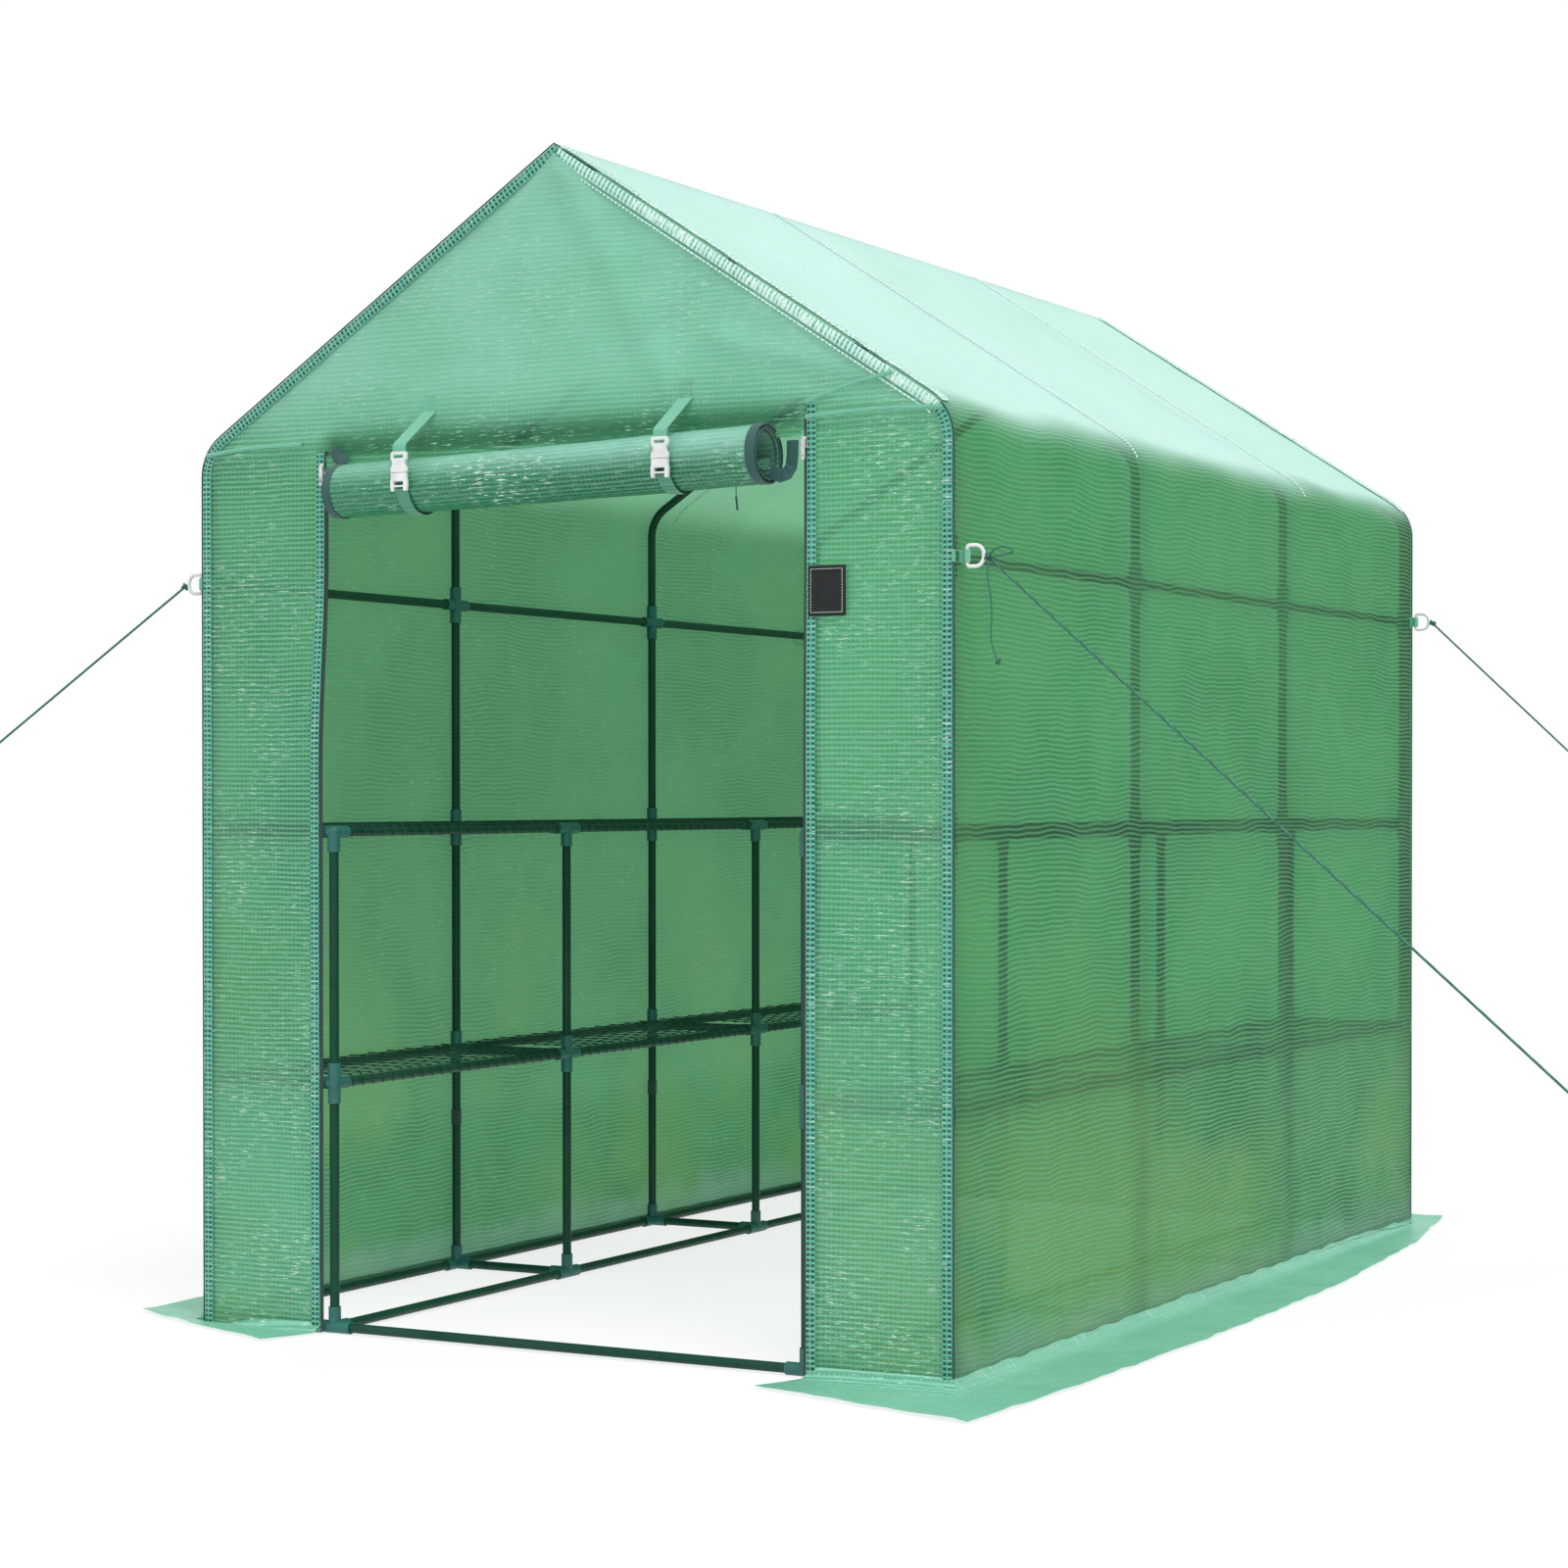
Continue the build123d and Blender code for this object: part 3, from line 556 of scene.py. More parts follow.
def over_the_ridge(values):
    """Both halves of the cross-section from its right half, which runs from the ground to the ridge."""
    return np.concatenate([values * np.array([-1, 1]), values[-2::-1]])


def distance_to(values, lines):
    """Distance from each value to the nearest of the lines."""
    return np.min([np.abs(values - line) for line in lines], axis=0)


SKIN = 0.0006            # the cloth stands this far off the frame
BILLOW = 0.0045
SAG = 0.011
# painted light on the roof: how far below the eave it starts, and the height over which it fades in
PAINTED_LIGHT_FROM = 0.034        # below the eave's height
PAINTED_LIGHT_OVER = 0.085


def billows(height, along, run):
    """How far the shell stands off its outline: slack between the frames, wrinkles, creases at the rails."""
    slack = np.clip(distance_to(along, FRAMES) / (BAY / 2), 0, 1) ** 1.4
    on_wall = np.clip((EAVE - 0.05 - height) / 0.1, 0, 1)
    on_roof = np.clip((height - EAVE) / 0.1, 0, 1) * np.clip((RIDGE - height) / 0.06, 0, 1)
    from_rail = distance_to(height, LEVELS)
    loose = np.clip(from_rail / 0.2, 0, 1) * slack
    wrinkle = np.abs(wave(run, along * 0.25, 7, 0.085)) * np.clip(loose * 3, 0.35, 1)
    wall = BILLOW * loose * wave(run, along, 5, 0.55) - 0.004 * loose + 0.0011 * wrinkle
    wall = wall + 0.0022 * np.exp(-((from_rail / 0.012) ** 2))
    wall = wall + 0.0035 * np.exp(-height / 0.05) * wave(along, run, 15, 0.16)
    roof = -SAG * slack + 0.004 * slack * wave(run, along, 11, 0.5) + 0.0012 * wave(run, along, 13, 0.12)
    return on_wall * wall + on_roof * roof + SKIN


def build_shell():
    spots, normals, at = shell_profile()
    spots, normals = (over_the_ridge(values) for values in (spots, normals))
    normals[len(at) - 1] = (0, 1)
    at = np.concatenate([at, 2 * at[-1] - at[-2::-1]])
    along, run = np.linspace(-HALF_D, HALF_D, 170)[None, :], at[:, None]
    height, side = spots[:, 1][:, None], np.sign(spots[:, 0])[:, None]
    offset = billows(height, along, run)
    points = grid(spots[:, 0][:, None] + normals[:, 0][:, None] * offset, along,
                  height + normals[:, 1][:, None] * offset)
    cut = grid(along, run)
    shell = sheet_object("cover_shell", points, cut, "wall")
    # painted light: the roof is painted pale as if lit, fading in from just under the eave, and only faintly
    # on the left slope
    edge = height - EAVE + PAINTED_LIGHT_FROM + 0.014 * wave(along, run * 2, 17, 0.5)
    painted_light = smooth(edge / PAINTED_LIGHT_OVER)
    # painted shade on the left half of the shell, weaker where the roof is painted pale
    shady = (1 - 0.7 * painted_light) * np.where(side < 0, 1, 0)
    painted_light = painted_light * np.where(side < 0, 0.12, 1.0)
    for label, values in (("painted_light", painted_light), ("shady", shady)):
        point_values(shell, label, values + 0 * along)
    settle(shell, "house", "mesh_cover", "side_cover_left", "side_cover_right", "roof_cover_left",
           "roof_cover_right")


build_shell()


# ------------ cover: front and rear walls
def half_width(z, inset=0.002):
    """Half the width of an end wall at height z, rounded at the eave."""
    rise = z - EAVE_START
    if rise <= 0:
        return HALF_W - inset
    if z < EAVE_START + EAVE_RADIUS * sin(EAVE_TURN):
        return HALF_W - EAVE_RADIUS + (EAVE_RADIUS ** 2 - rise ** 2) ** 0.5 - inset
    return max(0.0, HALF_W - (z - EAVE) / tan(ROOF_ANGLE) - inset / sin(ROOF_ANGLE))


half_widths = np.vectorize(half_width)


def door_edge(sign, z):
    """The doorway's side: the left one leans outwards low down, the right one a little inwards."""
    low = smooth((1.30 - np.asarray(z)) / 0.35)
    return -(DOOR_HALF - 0.005 + 0.013 * low) if sign < 0 else DOOR_HALF + 0.001 - 0.002 * low


def door_shade(x, z):
    """Soft shadow in the doubled cloth over the door, deepest at its lower edge."""
    middle = 1.484 + 0.012 * x
    tall = 0.026 - 0.008 * x
    band = np.exp(-np.clip(np.abs(z - middle) / tall, 0, 3) ** 2.2)
    return 0.92 * band * np.clip((DOOR_HALF + 0.01 - np.abs(x)) / 0.03, 0, 1)


# Folds in the end walls: start, end, width and height.
FOLDS = (((0.0, 1.94), (0.24, 1.50), 0.030, 0.008), ((0.0, 1.94), (-0.20, 1.55), 0.035, 0.006),
         ((-0.70, 1.47), (-0.44, 1.50), 0.012, 0.008), ((0.46, 1.515), (0.70, 1.49), 0.012, 0.008),
         ((0.46, 1.49), (0.70, 1.47), 0.009, 0.006), ((0.30, 1.62), (0.62, 1.53), 0.02, 0.005))


def end_points(x, z, y, outwards, seed):
    """Places on an end wall, with soft billows and the folds that run from the ridge and the eaves."""
    near_edge = np.clip((half_widths(z) - np.abs(x)) / 0.06, 0, 1)
    gable = np.clip((z - EAVE + 0.06) / 0.12, 0, 1)
    billow = 0.006 * wave(x, z, seed, 0.5) + 0.0022 * wave(x * 0.4, z, seed + 1, 0.11)
    fold = np.zeros(np.shape(x))
    for start, end, wide, tall in FOLDS:
        run = np.array(end) - np.array(start)
        share = np.clip(((x - start[0]) * run[0] + (z - start[1]) * run[1]) / (run @ run), 0, 1)
        gap = np.hypot(x - start[0] - share * run[0], z - start[1] - share * run[1])
        fold = fold + tall * np.exp(-((gap / wide) ** 2))
    offset = near_edge * (billow * (0.35 + 0.65 * gable) + fold) + 2 * SKIN
    return grid(x, y + outwards * offset, z)


def end_patch(name, x, z, outwards, seed, material):
    points = end_points(x, z + 0 * x, outwards * HALF_D, outwards, seed)
    return sheet_object(name, points, grid(x, z), material)


TIP = RIDGE - 0.006


def build_front():
    rows = np.linspace(0.001, DOOR_TOP, 150)[:, None]
    pieces = []
    for sign in (-1, 1):
        edge = door_edge(sign, rows)
        x = edge + (sign * (HALF_W - 0.002) - edge) * np.linspace(0, 1, 26)[None, :]
        pieces.append(end_patch("front_side", x, rows, -1, 21 + sign, "front"))
    rows = np.linspace(DOOR_TOP, TIP, 64)[:, None]
    x = np.linspace(-1, 1, 131)[None, :] * half_widths(rows)
    pieces.append(end_patch("front_gable", x, rows, -1, 24, "front"))
    front = join("cover_front", pieces)
    spots = np.zeros(len(front.data.vertices) * 3)
    front.data.vertices.foreach_get("co", spots)
    point_values(front, "shade", door_shade(spots[::3], spots[2::3]))
    settle(front, "house", "mesh_cover", "front_cover_left", "front_cover_right", "front_gable_cover")


def build_rear():
    rows = np.linspace(0.001, TIP, 150)[:, None]
    rear = end_patch("cover_rear", np.linspace(-1, 1, 101)[None, :] * half_widths(rows), rows, 1, 31, "wall")
    settle(rear, "house", "mesh_cover", "rear_cover")


build_front()
build_rear()


# ------------ cover: hems, seams and bindings
HEM = 0.017


def gable_path(y):
    """Along the edge of an end wall over the ridge, with the direction square to it."""
    spots, normals, _ = shell_profile()
    both, out = over_the_ridge(spots), over_the_ridge(normals)
    return grid(both[:, 0], y, both[:, 1]), grid(out[:, 0], 0, out[:, 1])


def build_hems():
    for name, y, outwards in (("hem_front_edge", -HALF_D, -1), ("hem_rear_edge", HALF_D, 1)):
        path, square = gable_path(y + outwards * 0.0035)
        out = (0, outwards, 0)
        face = ribbon(name + "_face", path - square * 0.0015, -square, HEM, "hem", out, 0.0007, 3, 9)
        # painted reflection: on the right slope the hem turns pale, with a pale band over onto the roof and a
        # thin pale line inside it
        face.data.materials.append(MATERIALS["gloss"])
        face.data.polygons.foreach_set("material_index", [
            1 if f.center.x > 0.01 and f.center.z > EAVE + 0.005 else 0 for f in face.data.polygons])
        sloped = (path[:, 0] > 0.004) & (path[:, 2] > EAVE + 0.005)
        slope, across = path[sloped], square[sloped]
        over = ribbon(name + "_over", slope + across * 0.0022, (0, -outwards, 0), 0.030, "gloss",
                      (0.54, 0, 0.84), 0.0015, 4, 12)
        inner = slope - across * (HEM + 0.006)
        line = ribbon(name + "_line", inner, -across, 0.003, "gloss", out, 0.0005, 5, 4)
        first, last = np.flatnonzero(sloped)[[0, -1]]
        rim = path + square * 0.0008
        edge = tubes_object(name + "_edge", [rim[:first + 1], rim[last:]], 0.0014, "binding", 6)
        settle(join(name, [face, over, line, edge]), "house", "mesh_cover")


def build_door_hems():
    for label, sign, top in (("left", -1, 1.478), ("right", 1, 1.508)):
        z = np.linspace(0.004, top, 220)
        x = door_edge(sign, z)
        path = grid(x + sign * 0.0025, -HALF_D - 0.0045, z)
        hem = ribbon(f"hem_doorway_{label}", path, (sign, 0, 0), 0.0165, "hem", (0, -1, 0), 0.0006, 9, 9)
        settle(hem, "house", "mesh_cover")
        start = grid(x - sign * 0.004, -HALF_D - 0.0012, z)
        tape = ribbon(f"zip_tape_{label}", start, (sign, 0, 0), 0.008, "zip", (0, -1, 0), 0.0001, 2)
        settle(tape, "house", "zip_tape")


def build_foot_creases():
    """The crumpled fold where the walls meet the ground flaps."""
    y = np.linspace(-HALF_D + 0.004, HALF_D - 0.004, 320)
    for label, sign in SIDES:
        path = grid(sign * (HALF_W + 0.003), y, 0.004)
        crease = ribbon(f"foot_crease_{label}", path, (0, 0, 1), 0.012, "flap", (sign, 0, 0), 0.0022, 12, 8)
        settle(crease, "house", "mesh_cover")


BLOCK_FACES = ((0, 1, 3, 2), (4, 6, 7, 5), (0, 4, 5, 1), (2, 3, 7, 6), (0, 2, 6, 4), (1, 5, 7, 3))


def build_teeth():
    """Moulded zip teeth, one small block each, beside the doorway."""
    low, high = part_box("zip_chains")
    spacing, (wide, deep, tall) = 0.0034, (0.0052, 0.0018, 0.0016)
    for label, sign in SIDES:
        vertices, faces = [], []
        for i, z in enumerate(np.arange(low.z + 0.002, high.z, spacing)):
            x = float(door_edge(sign, z)) + (0.0008 if i % 2 else -0.0008)
            y = low.y + deep / 2
            faces += [tuple(len(vertices) + k for k in quad) for quad in BLOCK_FACES]
            for dx in (-0.5, 0.5):
                for dy, taper in ((-0.5, 0.7), (0.5, 1.0)):
                    for dz in (-0.5, 0.5):
                        vertices.append((x + dx * wide * taper, y + dy * deep, z + dz * tall * taper))
        teeth = mesh_object(f"zip_teeth_{label}", vertices, faces, "zip", rounded=False)
        settle(teeth, "house", "zip_tape", *(["zip_chains"] if sign < 0 else []))


def build_seams():
    """Two rows of light stitches over the roof, near the middle frames."""
    path, square = gable_path(0)
    roof = path[:, 2] > EAVE - 0.02
    path, square = path[roof], square[roof]
    fine = np.linspace(0, len(path) - 1.001, 500)
    lower = fine.astype(int)
    part = (fine - lower)[:, None]
    for label, y in (("front", FRAMES[1] - 0.012), ("rear", FRAMES[2] + 0.10)):
        sag = 0.006 * (1 - abs(np.cos(pi * (y - FRAMES[1]) / BAY)))
        line = path - square * sag + np.array((0, y, 0))
        dots = line[lower] * (1 - part) + line[lower + 1] * part
        dots = dots + (square[lower] * (1 - part) + square[lower + 1] * part) * 0.0026
        stitches = [[dots[i], dots[i + 1]] for i in range(0, len(dots) - 1, 2)]
        rows = tubes_object(f"seam_stitches_{label}", stitches, 0.0019, "thread", 5)
        settle(rows, "house", "mesh_cover")


def build_corner_seams():
    """Stitched joins beside the top of the doorway, where the gable meets the front panels."""
    share = np.linspace(0, 1, 60)
    for label, sign, ends in (("right_low", 1, ((0.464, 1.483), (0.700, 1.486))),
                              ("right_high", 1, ((0.464, 1.506), (0.615, 1.543))),
                              ("left_low", -1, ((0.500, 1.487), (0.700, 1.478)))):
        x, z = part_way(*ends, share)
        path = grid(sign * x, -HALF_D - 0.0095, z + 0.004 * np.sin(pi * share))
        seam = ribbon(f"corner_seam_{label}", path, (0, 0, 1), 0.007, "webbing", (0, -1, 0), 0.0008, 14, 5)
        settle(seam, "house", "mesh_cover")


build_hems()
build_corner_seams()
build_door_hems()
build_foot_creases()
build_teeth()
build_seams()


# ------------ ground flaps
def build_flaps():
    """One sheet that runs round the house from one side of the doorway to the other, spread on the ground."""
    stations = [((-DOOR_HALF - 0.008, -HALF_D), (-0.506, -1.195)), ((-0.60, -HALF_D), (-0.72, -1.115)),
                ((-HALF_W, -HALF_D), (-0.890, -1.040)), ((-HALF_W, -0.70), (-0.880, -0.72)),
                ((-HALF_W, 0.20), (-0.874, 0.22)), ((-HALF_W, HALF_D), (-0.870, 1.215)),
                ((0.0, HALF_D), (0.02, 1.240)), ((HALF_W, HALF_D), (0.742, 1.225)),
                ((HALF_W, 0.80), (0.815, 0.83)), ((HALF_W, 0.20), (0.872, 0.22)),
                ((HALF_W, -0.45), (0.884, -0.46)), ((HALF_W, -0.92), (0.868, -0.985)),
                ((HALF_W, -HALF_D), (0.846, -1.300)), ((0.60, -HALF_D), (0.63, -1.248)),
                ((DOOR_HALF + 0.008, -HALF_D), (0.430, -1.192))]
    inner, outer = [], []
    for (a, b), (c, d) in zip(stations, stations[1:]):
        count = max(4, int(hypot(c[0] - a[0], c[1] - a[1]) / 0.016))
        for i in range(count):
            inner.append(part_way(a, c, i / count))
            outer.append(part_way(b, d, i / count))
    inner.append(stations[-1][0])
    outer.append(stations[-1][1])
    inner, outer = np.array(inner), np.array(outer)
    share = np.linspace(0, 1, 13)[None, :]
    x, y = (inner[:, k][:, None] * (1 - share) + outer[:, k][:, None] * share for k in (0, 1))
    ragged = 0.004 * wave(x * 3, y * 3, 51, 0.3) * share
    lift = np.clip(1 - share / 0.18, 0, 1) ** 2
    z = 0.0022 + 0.020 * lift + 0.0028 * share * (1 + wave(x, y, 53, 0.16))
    flaps = sheet_object("ground_apron", grid(x + ragged, y + ragged, z), grid(x, y), "flap")
    settle(flaps, "house", "mesh_cover", "ground_flaps")


build_flaps()


# ------------ rolled door
roll_low, roll_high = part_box("door_roll")
ROLL_R = (roll_high.z - roll_low.z) / 2
ROLL_Y = (roll_low.y + roll_high.y) / 2
ROLL_Z = (roll_low.z + roll_high.z) / 2
ROLL_HALF = roll_high.x - 0.002
ROLL_TURNS = 6.0
ROLL_PITCH = 0.0023
CLOTH_TURNS = 5.5


def roll_section(x):
    """Centre height and outer radius of the rolled door at x. It hangs askew and is looser on the right."""
    share = x / ROLL_HALF
    return ROLL_Z + 0.0125 * share - 0.002 * np.cos(pi * share / 2), ROLL_R - 0.0004 + 0.0014 * share


def roll_place(turn, x):
    """A point on the rolled cloth: turn in revolutions from the outside, x along the roll."""
    angle = 2 * pi * turn - 0.25
    inner = np.clip((turn - CLOTH_TURNS) / (ROLL_TURNS - CLOTH_TURNS), 0, 1)
    centre, outer = roll_section(x)
    radius = outer - ROLL_PITCH * turn - 0.019 * inner
    radius = radius + 0.0009 * wave(x + 0 * turn, turn * 0.13 + 0 * x, 61, 0.35)
    return ROLL_Y + radius * np.cos(angle), centre + radius * np.sin(angle)


def build_roll():
    turns = np.linspace(0, ROLL_TURNS, 300)[:, None]
    x = np.linspace(-1, 1, 100)[None, :]
    step = 0.0035 * np.sin(turns * 2.1)
    place_x = x * (ROLL_HALF - 0.004 + step)
    y, z = roll_place(turns, place_x)
    points = grid(place_x, y, z)
    run = 2 * pi * (ROLL_R * turns - ROLL_PITCH * turns ** 2 / 2)
    cut = grid(place_x, run)
    cloth = sheet_object("door_rolled_cloth", points, cut, "rolled")
    settle(cloth, "rolled_door", "mesh_cover", "door_roll")
    for label, sign in SIDES:
        line = np.linspace(0, ROLL_TURNS, 300)
        edge_x = sign * (ROLL_HALF - 0.004 + 0.0035 * np.sin(line * 2.1))
        y, z = roll_place(line, edge_x)
        path = grid(edge_x, y, z)
        cord = tubes_object(f"door_binding_edge_{label}", [path], 0.0014, "binding", 6)
        centre = np.array((0, ROLL_Y, ROLL_Z))
        outwards = path - centre
        outwards[:, 0] = 0
        outwards /= np.linalg.norm(outwards, axis=1)[:, None]
        bands = []
        for part in (line < 1.0, line > 5.3):
            wrap = path[part] + outwards[part] * 0.0013
            bands.append(ribbon("band", wrap, (-sign, 0, 0), 0.015, "binding", (0, 0, 0), 0.0, 1))
        settle(join(f"door_binding_{label}", [cord, *bands]), "rolled_door", "zip_tape")


build_roll()


def build_straps():
    """The lower door straps, from each buckle round the roll and up behind it."""
    low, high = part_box("strap_wraps")
    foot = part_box("buckle_plugs")[0].z
    for label, x in (("left", low.x), ("right", high.x - 0.025)):
        centre, radius = roll_section(x + 0.0125)
        radius = radius + 0.0022
        turns = np.linspace(radians(200), radians(350), 40)
        round_it = grid(ROLL_Y + radius * np.cos(turns), centre + radius * np.sin(turns))
        section = np.concatenate([[(low.y + 0.0006, foot + 0.004)], round_it, [(ROLL_Y + radius, high.z)]])
        strap = ribbon(f"door_strap_{label}", grid(x, *section.T), (1, 0, 0), 0.025, "strap")
        settle(strap, "rolled_door", "webbing", *(["strap_wraps"] if x < 0 else []))


build_straps()


# Rows of a buckle half: height above the split, half width, and whether a slot starts here.
SOCKET_ROWS = ((0.0, 0.0152, 0), (0.008, 0.0152, 0), (0.0125, 0.0118, 0), (0.0175, 0.0118, 0),
               (0.0215, 0.0145, 0), (0.0235, 0.015, 1), (0.0285, 0.015, 0), (0.0325, 0.0142, 0),
               (0.034, 0.0125, 0))
PLUG_ROWS = ((-0.03, 0.015, 1), (-0.0235, 0.0158, 0), (-0.0205, 0.016, 1), (-0.0145, 0.016, 0),
             (-0.01, 0.0148, 0), (-0.0004, 0.0148, 0))
BUCKLE_SLOT = 0.0095


def buckle_half(name, x, y, split, rows):
    """A flat moulding with rounded edges, cut from a slotted outline."""
    vertices, faces = [], []
    for rise, wide, _ in rows:
        vertices += [(x + dx, y, split + rise) for dx in (-wide, -BUCKLE_SLOT, BUCKLE_SLOT, wide)]
    for i, (_, _, slotted) in enumerate(rows[:-1]):
        for k in (0, 2) if slotted else (0, 1, 2):
            faces.append((4 * i + k, 4 * i + k + 1, 4 * i + k + 5, 4 * i + k + 4))
    half = mesh_object(name, vertices, faces, "white", rounded=False)
    thick = half.modifiers.new("thick", "SOLIDIFY")
    thick.thickness, thick.offset = 0.0078, 0
    rounded = half.modifiers.new("rounded", "BEVEL")
    rounded.width, rounded.segments, rounded.limit_method = 0.0013, 2, "ANGLE"
    bpy.context.view_layer.objects.active = half
    for modifier in ("thick", "rounded"):
        bpy.ops.object.modifier_apply(modifier=modifier)
    return half


def build_buckles():
    low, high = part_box("buckle_plugs")
    split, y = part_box("buckle_sockets")[0].z, (low.y + high.y) / 2
    for label, x in (("left", low.x + 0.016), ("right", high.x - 0.016)):
        for half, body, rows in (("socket", "house", SOCKET_ROWS), ("plug", "rolled_door", PLUG_ROWS)):
            made = buckle_half(f"buckle_{half}_{label}", x, y, split, rows)
            settle(made, body, "white_plastic", *([f"buckle_{half}s"] if x < 0 else []))


build_buckles()


def build_curtain():
    """The unrolled top of the door, behind the roll."""
    low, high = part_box("door_curtain")
    top, bottom, back = high.z, low.z, low.y
    width = DOOR_HALF - 0.006
    share = np.linspace(0, 1, 90)[:, None]
    drawn_in = np.clip((share - 0.8) / 0.2, 0, 1)
    x = np.linspace(-1, 1, 90)[None, :] * (width - (width - ROLL_HALF + 0.004) * drawn_in ** 2)
    centre, radius = roll_section(x)
    foot = centre + np.sqrt(np.clip((radius - 0.001) ** 2 - (back - ROLL_Y) ** 2, 0, None))
    rows = top + (np.minimum(foot, bottom) - top) * share
    y = back - 0.0004 + 0.0006 * wave(x, rows, 71, 0.3) * np.clip(share / 0.2, 0, 1)
    points = grid(x, y, rows)
    cut = grid(x, rows)
    curtain = sheet_object("door_curtain_cloth", points, cut, "curtain")
    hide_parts("door_curtain")
    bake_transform(curtain)


build_curtain()


def build_roll_tail():
    """A short tie end that hangs under the roll."""
    x = 0.352
    z = ROLL_Z - ROLL_R + 0.011
    line = [(x, ROLL_Y, z), (x + 0.0005, ROLL_Y, z - 0.016)]
    thin = tubes_object("tail_cord", [line], 0.0008, "binding", 6)
    spots = ((-0.0012, -0.015), (0.0016, -0.015), (0.0042, -0.036), (0.0012, -0.037))
    vertices = [(x + a, ROLL_Y + dy, z + b) for dy in (-0.0008, 0.0008) for a, b in spots]
    faces = [(0, 3, 2, 1), (4, 5, 6, 7)] + [(k, (k + 1) % 4, (k + 1) % 4 + 4, k + 4) for k in range(4)]
    tab = mesh_object("tail_tab", vertices, faces, "binding", rounded=False)
    settle(join("roll_tail", [thin, tab]), "rolled_door", "zip_tape")


build_roll_tail()


ZIP_TAILS = {
    "right": ((0.405, -1.106, 1.394), (0.424, -1.098, 1.386), (0.440, -1.092, 1.392), (0.4485, -1.088, 1.408),
              (0.4505, -1.0875, 1.430), (0.4505, -1.087, 1.452)),
    "left": ((-0.444, -1.087, 1.476), (-0.438, -1.087, 1.462), (-0.425, -1.088, 1.451),
             (-0.404, -1.092, 1.447))}


def build_zip_tails():
    """The loose ends of the door's own zip tape, from the roll's ends to the sliders."""
    for label, path in ZIP_TAILS.items():
        spots = np.array(path)
        fine = np.linspace(0, len(spots) - 1, 40)
        line = grid(*(np.interp(fine, np.arange(len(spots)), column) for column in spots.T))
        ahead = np.gradient(line, axis=0)
        across = grid(-ahead[:, 2], 0, ahead[:, 0])
        across /= np.linalg.norm(across, axis=1)[:, None]
        tail = ribbon(f"zip_tail_{label}", line, across, 0.021, "binding", (0, -1, 0), 0.0003, 91)
        settle(tail, "rolled_door", "zip_tape")


build_zip_tails()


# ------------ wire shelves
def build_shelves():
    for tier in ("low", "mid"):
        for label, sign in SIDES:
            node = f"shelves_{tier}_{label}"
            low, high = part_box(node)
            z = low.z + 0.0014
            inner, outer = (low.x, high.x) if sign > 0 else (high.x, low.x)
            paths = []
            for i in range(3):
                start, end = FRAMES[i] + 0.041, FRAMES[i + 1] - 0.041
                for share in np.linspace(0.03, 0.97, 11):
                    x = inner + (outer - inner) * share
                    paths.append([(x, y, z) for y in (start, end)])
                rungs = int((end - start) / 0.028)
                for k in range(rungs + 1):
                    y = start + (end - start) * k / rungs
                    hook = [(inner - sign * 0.0005, y, z - 0.0022), (inner - sign * 0.0035, y, z - 0.0085),
                            (inner + sign * 0.0005, y, z - 0.0180)]
                    far = outer - sign * 0.001 if k % 2 == 0 else inner + (outer - inner) * 0.03
                    paths.append([*hook[::-1], (inner + sign * 0.002, y, z + 0.0018), (far, y, z + 0.0018)])
            shelf = tubes_object(node + "_wires", paths, 0.0009, "wire", 6)
            settle(shelf, "house", "shelf_wire", node)


build_shelves()


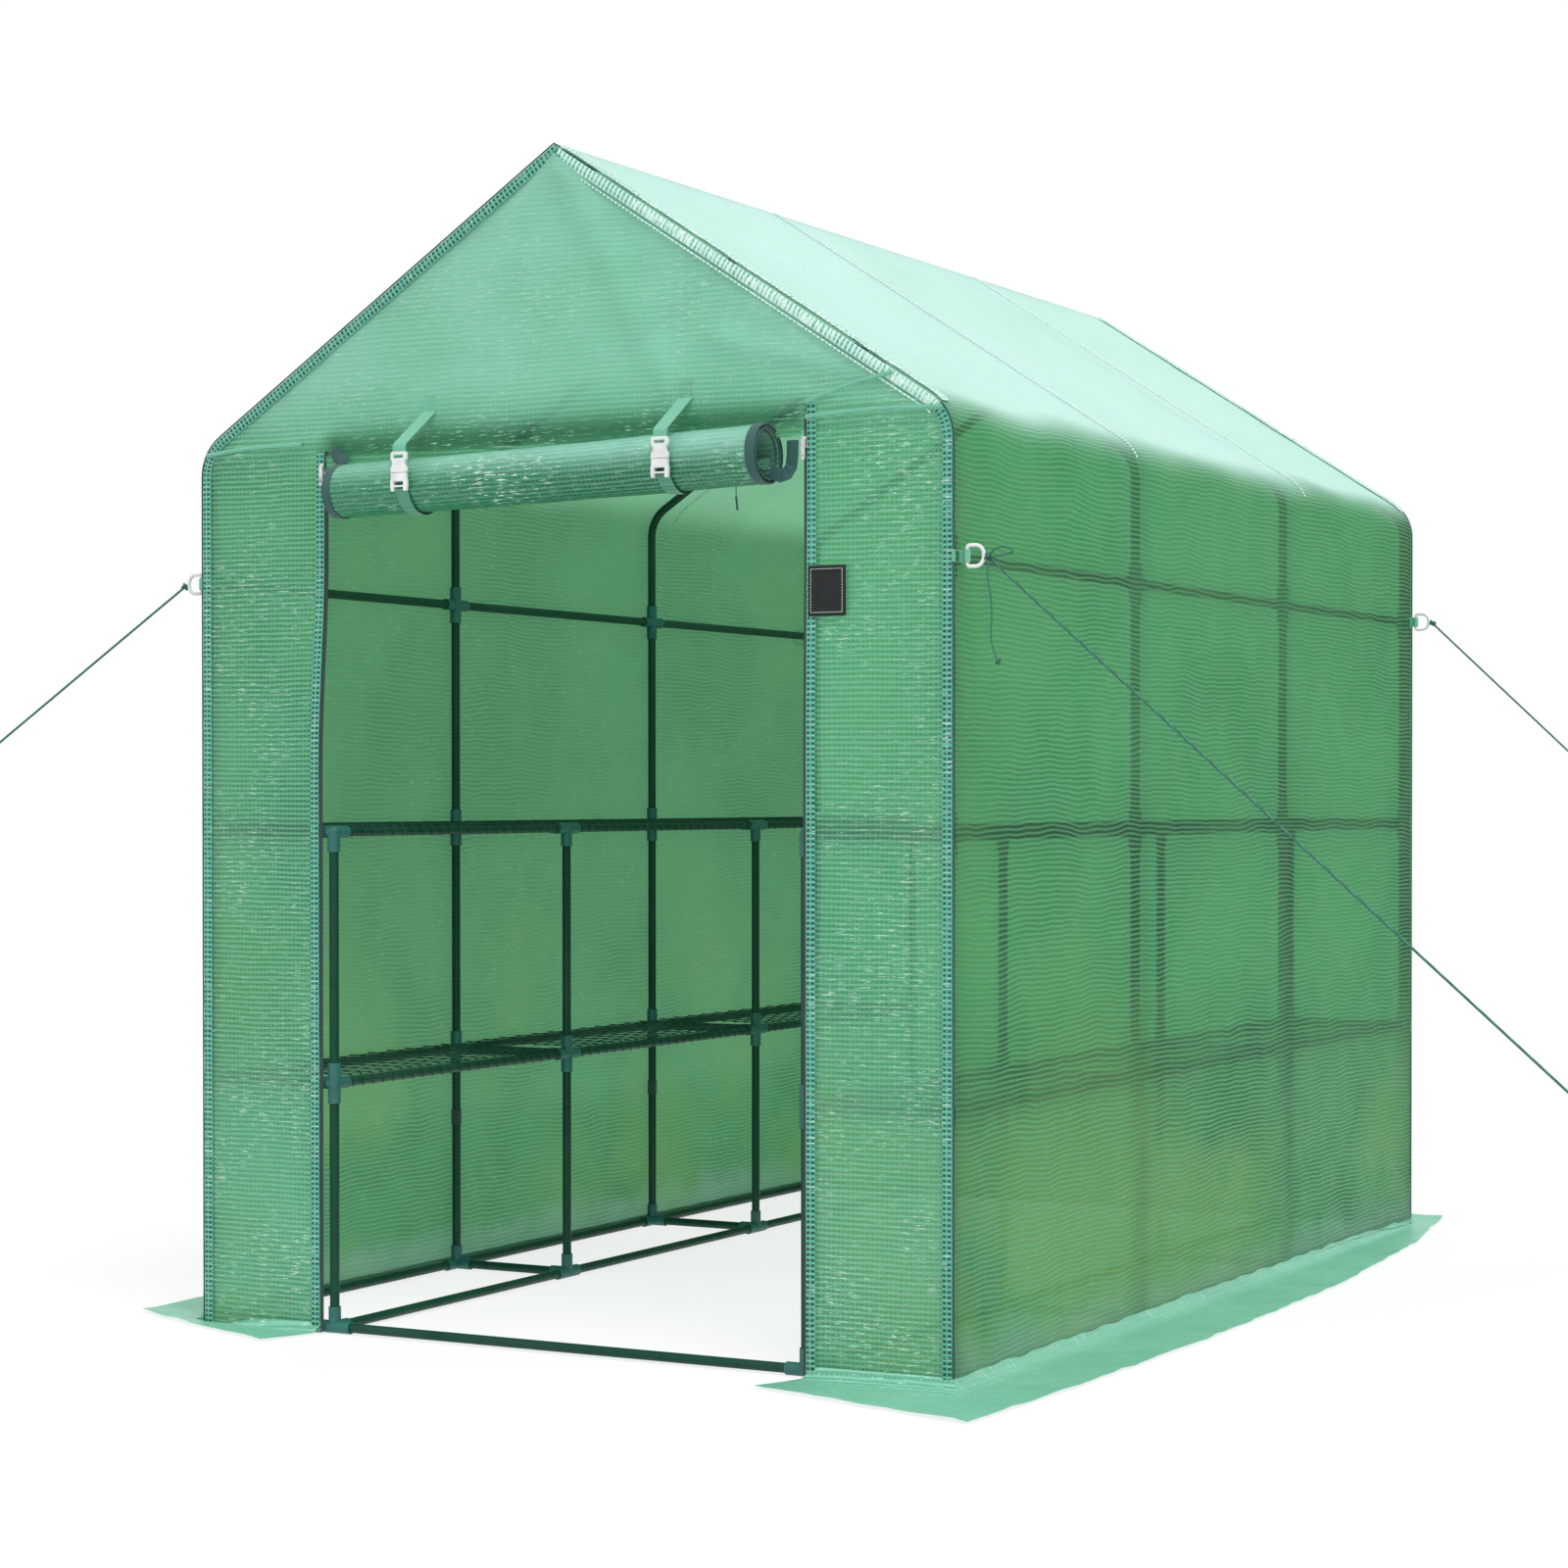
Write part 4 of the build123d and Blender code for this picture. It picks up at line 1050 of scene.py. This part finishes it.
# ------------ label, stitched and blank
def build_label():
    low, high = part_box("label_patch")
    s = Shader("label_cloth")
    place = s.place()
    x, _, z = s.axes(place)
    weave = s.remap(s.stripes(s.plus(x, z), 0.0011), 0.1, 0.4, 0.0, 1.0)
    colour = s.mix(weave, (0.006, 0.008, 0.008), (0.03, 0.034, 0.034))
    MATERIALS["label"] = s.finish(s.node(
        "BsdfPrincipled", Base_Color=colour, Normal=s.bump(weave, 0.0003, 0.5), Specular_IOR_Level=0.15,
        Roughness=s.remap(s.noise(place, 90.0), 0.3, 0.7, 0.5, 0.75)))
    x, z = np.meshgrid(np.linspace(low.x, high.x, 30), np.linspace(low.z, high.z, 34))
    edge = np.minimum.reduce([x - low.x, high.x - x, z - low.z, high.z - z])
    puff = 0.0008 * np.exp(-(((edge - 0.007) / 0.002) ** 2)) + 0.0012 * np.clip(edge / 0.003, 0, 1)
    y = low.y - 0.0068 - puff - 0.0004 * wave(x, z, 81, 0.05)
    patch = sheet_object("label_cloth_patch", grid(x, y, z), grid(x, z), "label")
    settle(patch, "house", "label_cloth", "label_patch")
    stitches = []
    inset, front = 0.0055, low.y - 0.0092
    left, right, foot, top = low.x + inset, high.x - inset, low.z + inset, high.z - inset
    corners = ((left, foot), (right, foot), (right, top), (left, top), (left, foot))
    for a, b in zip(corners, corners[1:]):
        count = int(hypot(b[0] - a[0], b[1] - a[1]) / 0.0042)
        for k in range(count):
            ends = (part_way(a, b, share) for share in (k / count, (k + 0.62) / count))
            stitches.append([(x, front, z) for x, z in ends])
    settle(tubes_object("label_stitches", stitches, 0.0005, "thread", 5), "house", "label_cloth")


build_label()


# ------------ finishes of the carried-over CAD pieces
def paint(material, *nodes):
    for name in nodes:
        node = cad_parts[name]
        node.data.materials.clear()
        node.data.materials.append(MATERIALS[material])


for side in ("left", "right"):
    paint("steel", *(f"{kind}_{side}" for kind in ("outer_posts", "eave_tubes", "rafters", "inner_posts",
                                                   "wall_rails", "shelf_rails", "cross_tubes")))
    paint("zip_metal", f"zip_slider_{side}")
paint("steel", "ridge_tubes", "threshold_tube", "rear_base_tube")
paint("connector", "rafter_sleeves", "ridge_connectors", "base_connectors_outer", "base_connectors_inner",
      "shelf_connectors_outer", "shelf_connectors_inner", "shelf_top_connectors", "upper_connectors")
paint("white", "d_rings")
paint("webbing", "strap_uppers", "ring_tabs")
paint("tie", "cover_ties")


# ------------ floor and light
def build_stage():
    s = Shader("studio_floor")
    tone = s.remap(s.noise(s.place(), 0.6), 0.3, 0.7, 0.0, 1.0)
    colour = s.mix(tone, (0.86, 0.87, 0.87), (0.90, 0.90, 0.90))
    body = s.node("BsdfPrincipled", Base_Color=colour, Roughness=0.9)
    lit = s.node("Emission", Color=colour, Strength=1.12)
    MATERIALS["floor"] = s.finish(s.node("MixShader", Fac=0.8, _1=body.outputs[0], _2=lit.outputs[0]))
    reach, level = 40.0, -0.001
    corners = [(-reach, -reach, level), (reach, -reach, level), (reach, reach, level), (-reach, reach, level)]
    mesh_object("floor", corners, [(0, 1, 2, 3)], "floor")
    world = bpy.data.worlds.new("studio")
    world.use_nodes = True
    background = world.node_tree.nodes["Background"].inputs
    background["Color"].default_value = (1, 1, 1, 1)
    background["Strength"].default_value = 1.0
    bpy.context.scene.world = world
    data = bpy.data.lights.new("sun", "SUN")
    data.angle = radians(28)
    data.energy = 1.8
    lamp = bpy.data.objects.new("sun", data)
    lamp.rotation_euler = Vector((-0.42, 0.34, -0.86)).to_track_quat("-Z", "Y").to_euler()
    bpy.context.collection.objects.link(lamp)
    bpy.context.scene.view_settings.view_transform = "Standard"


build_stage()
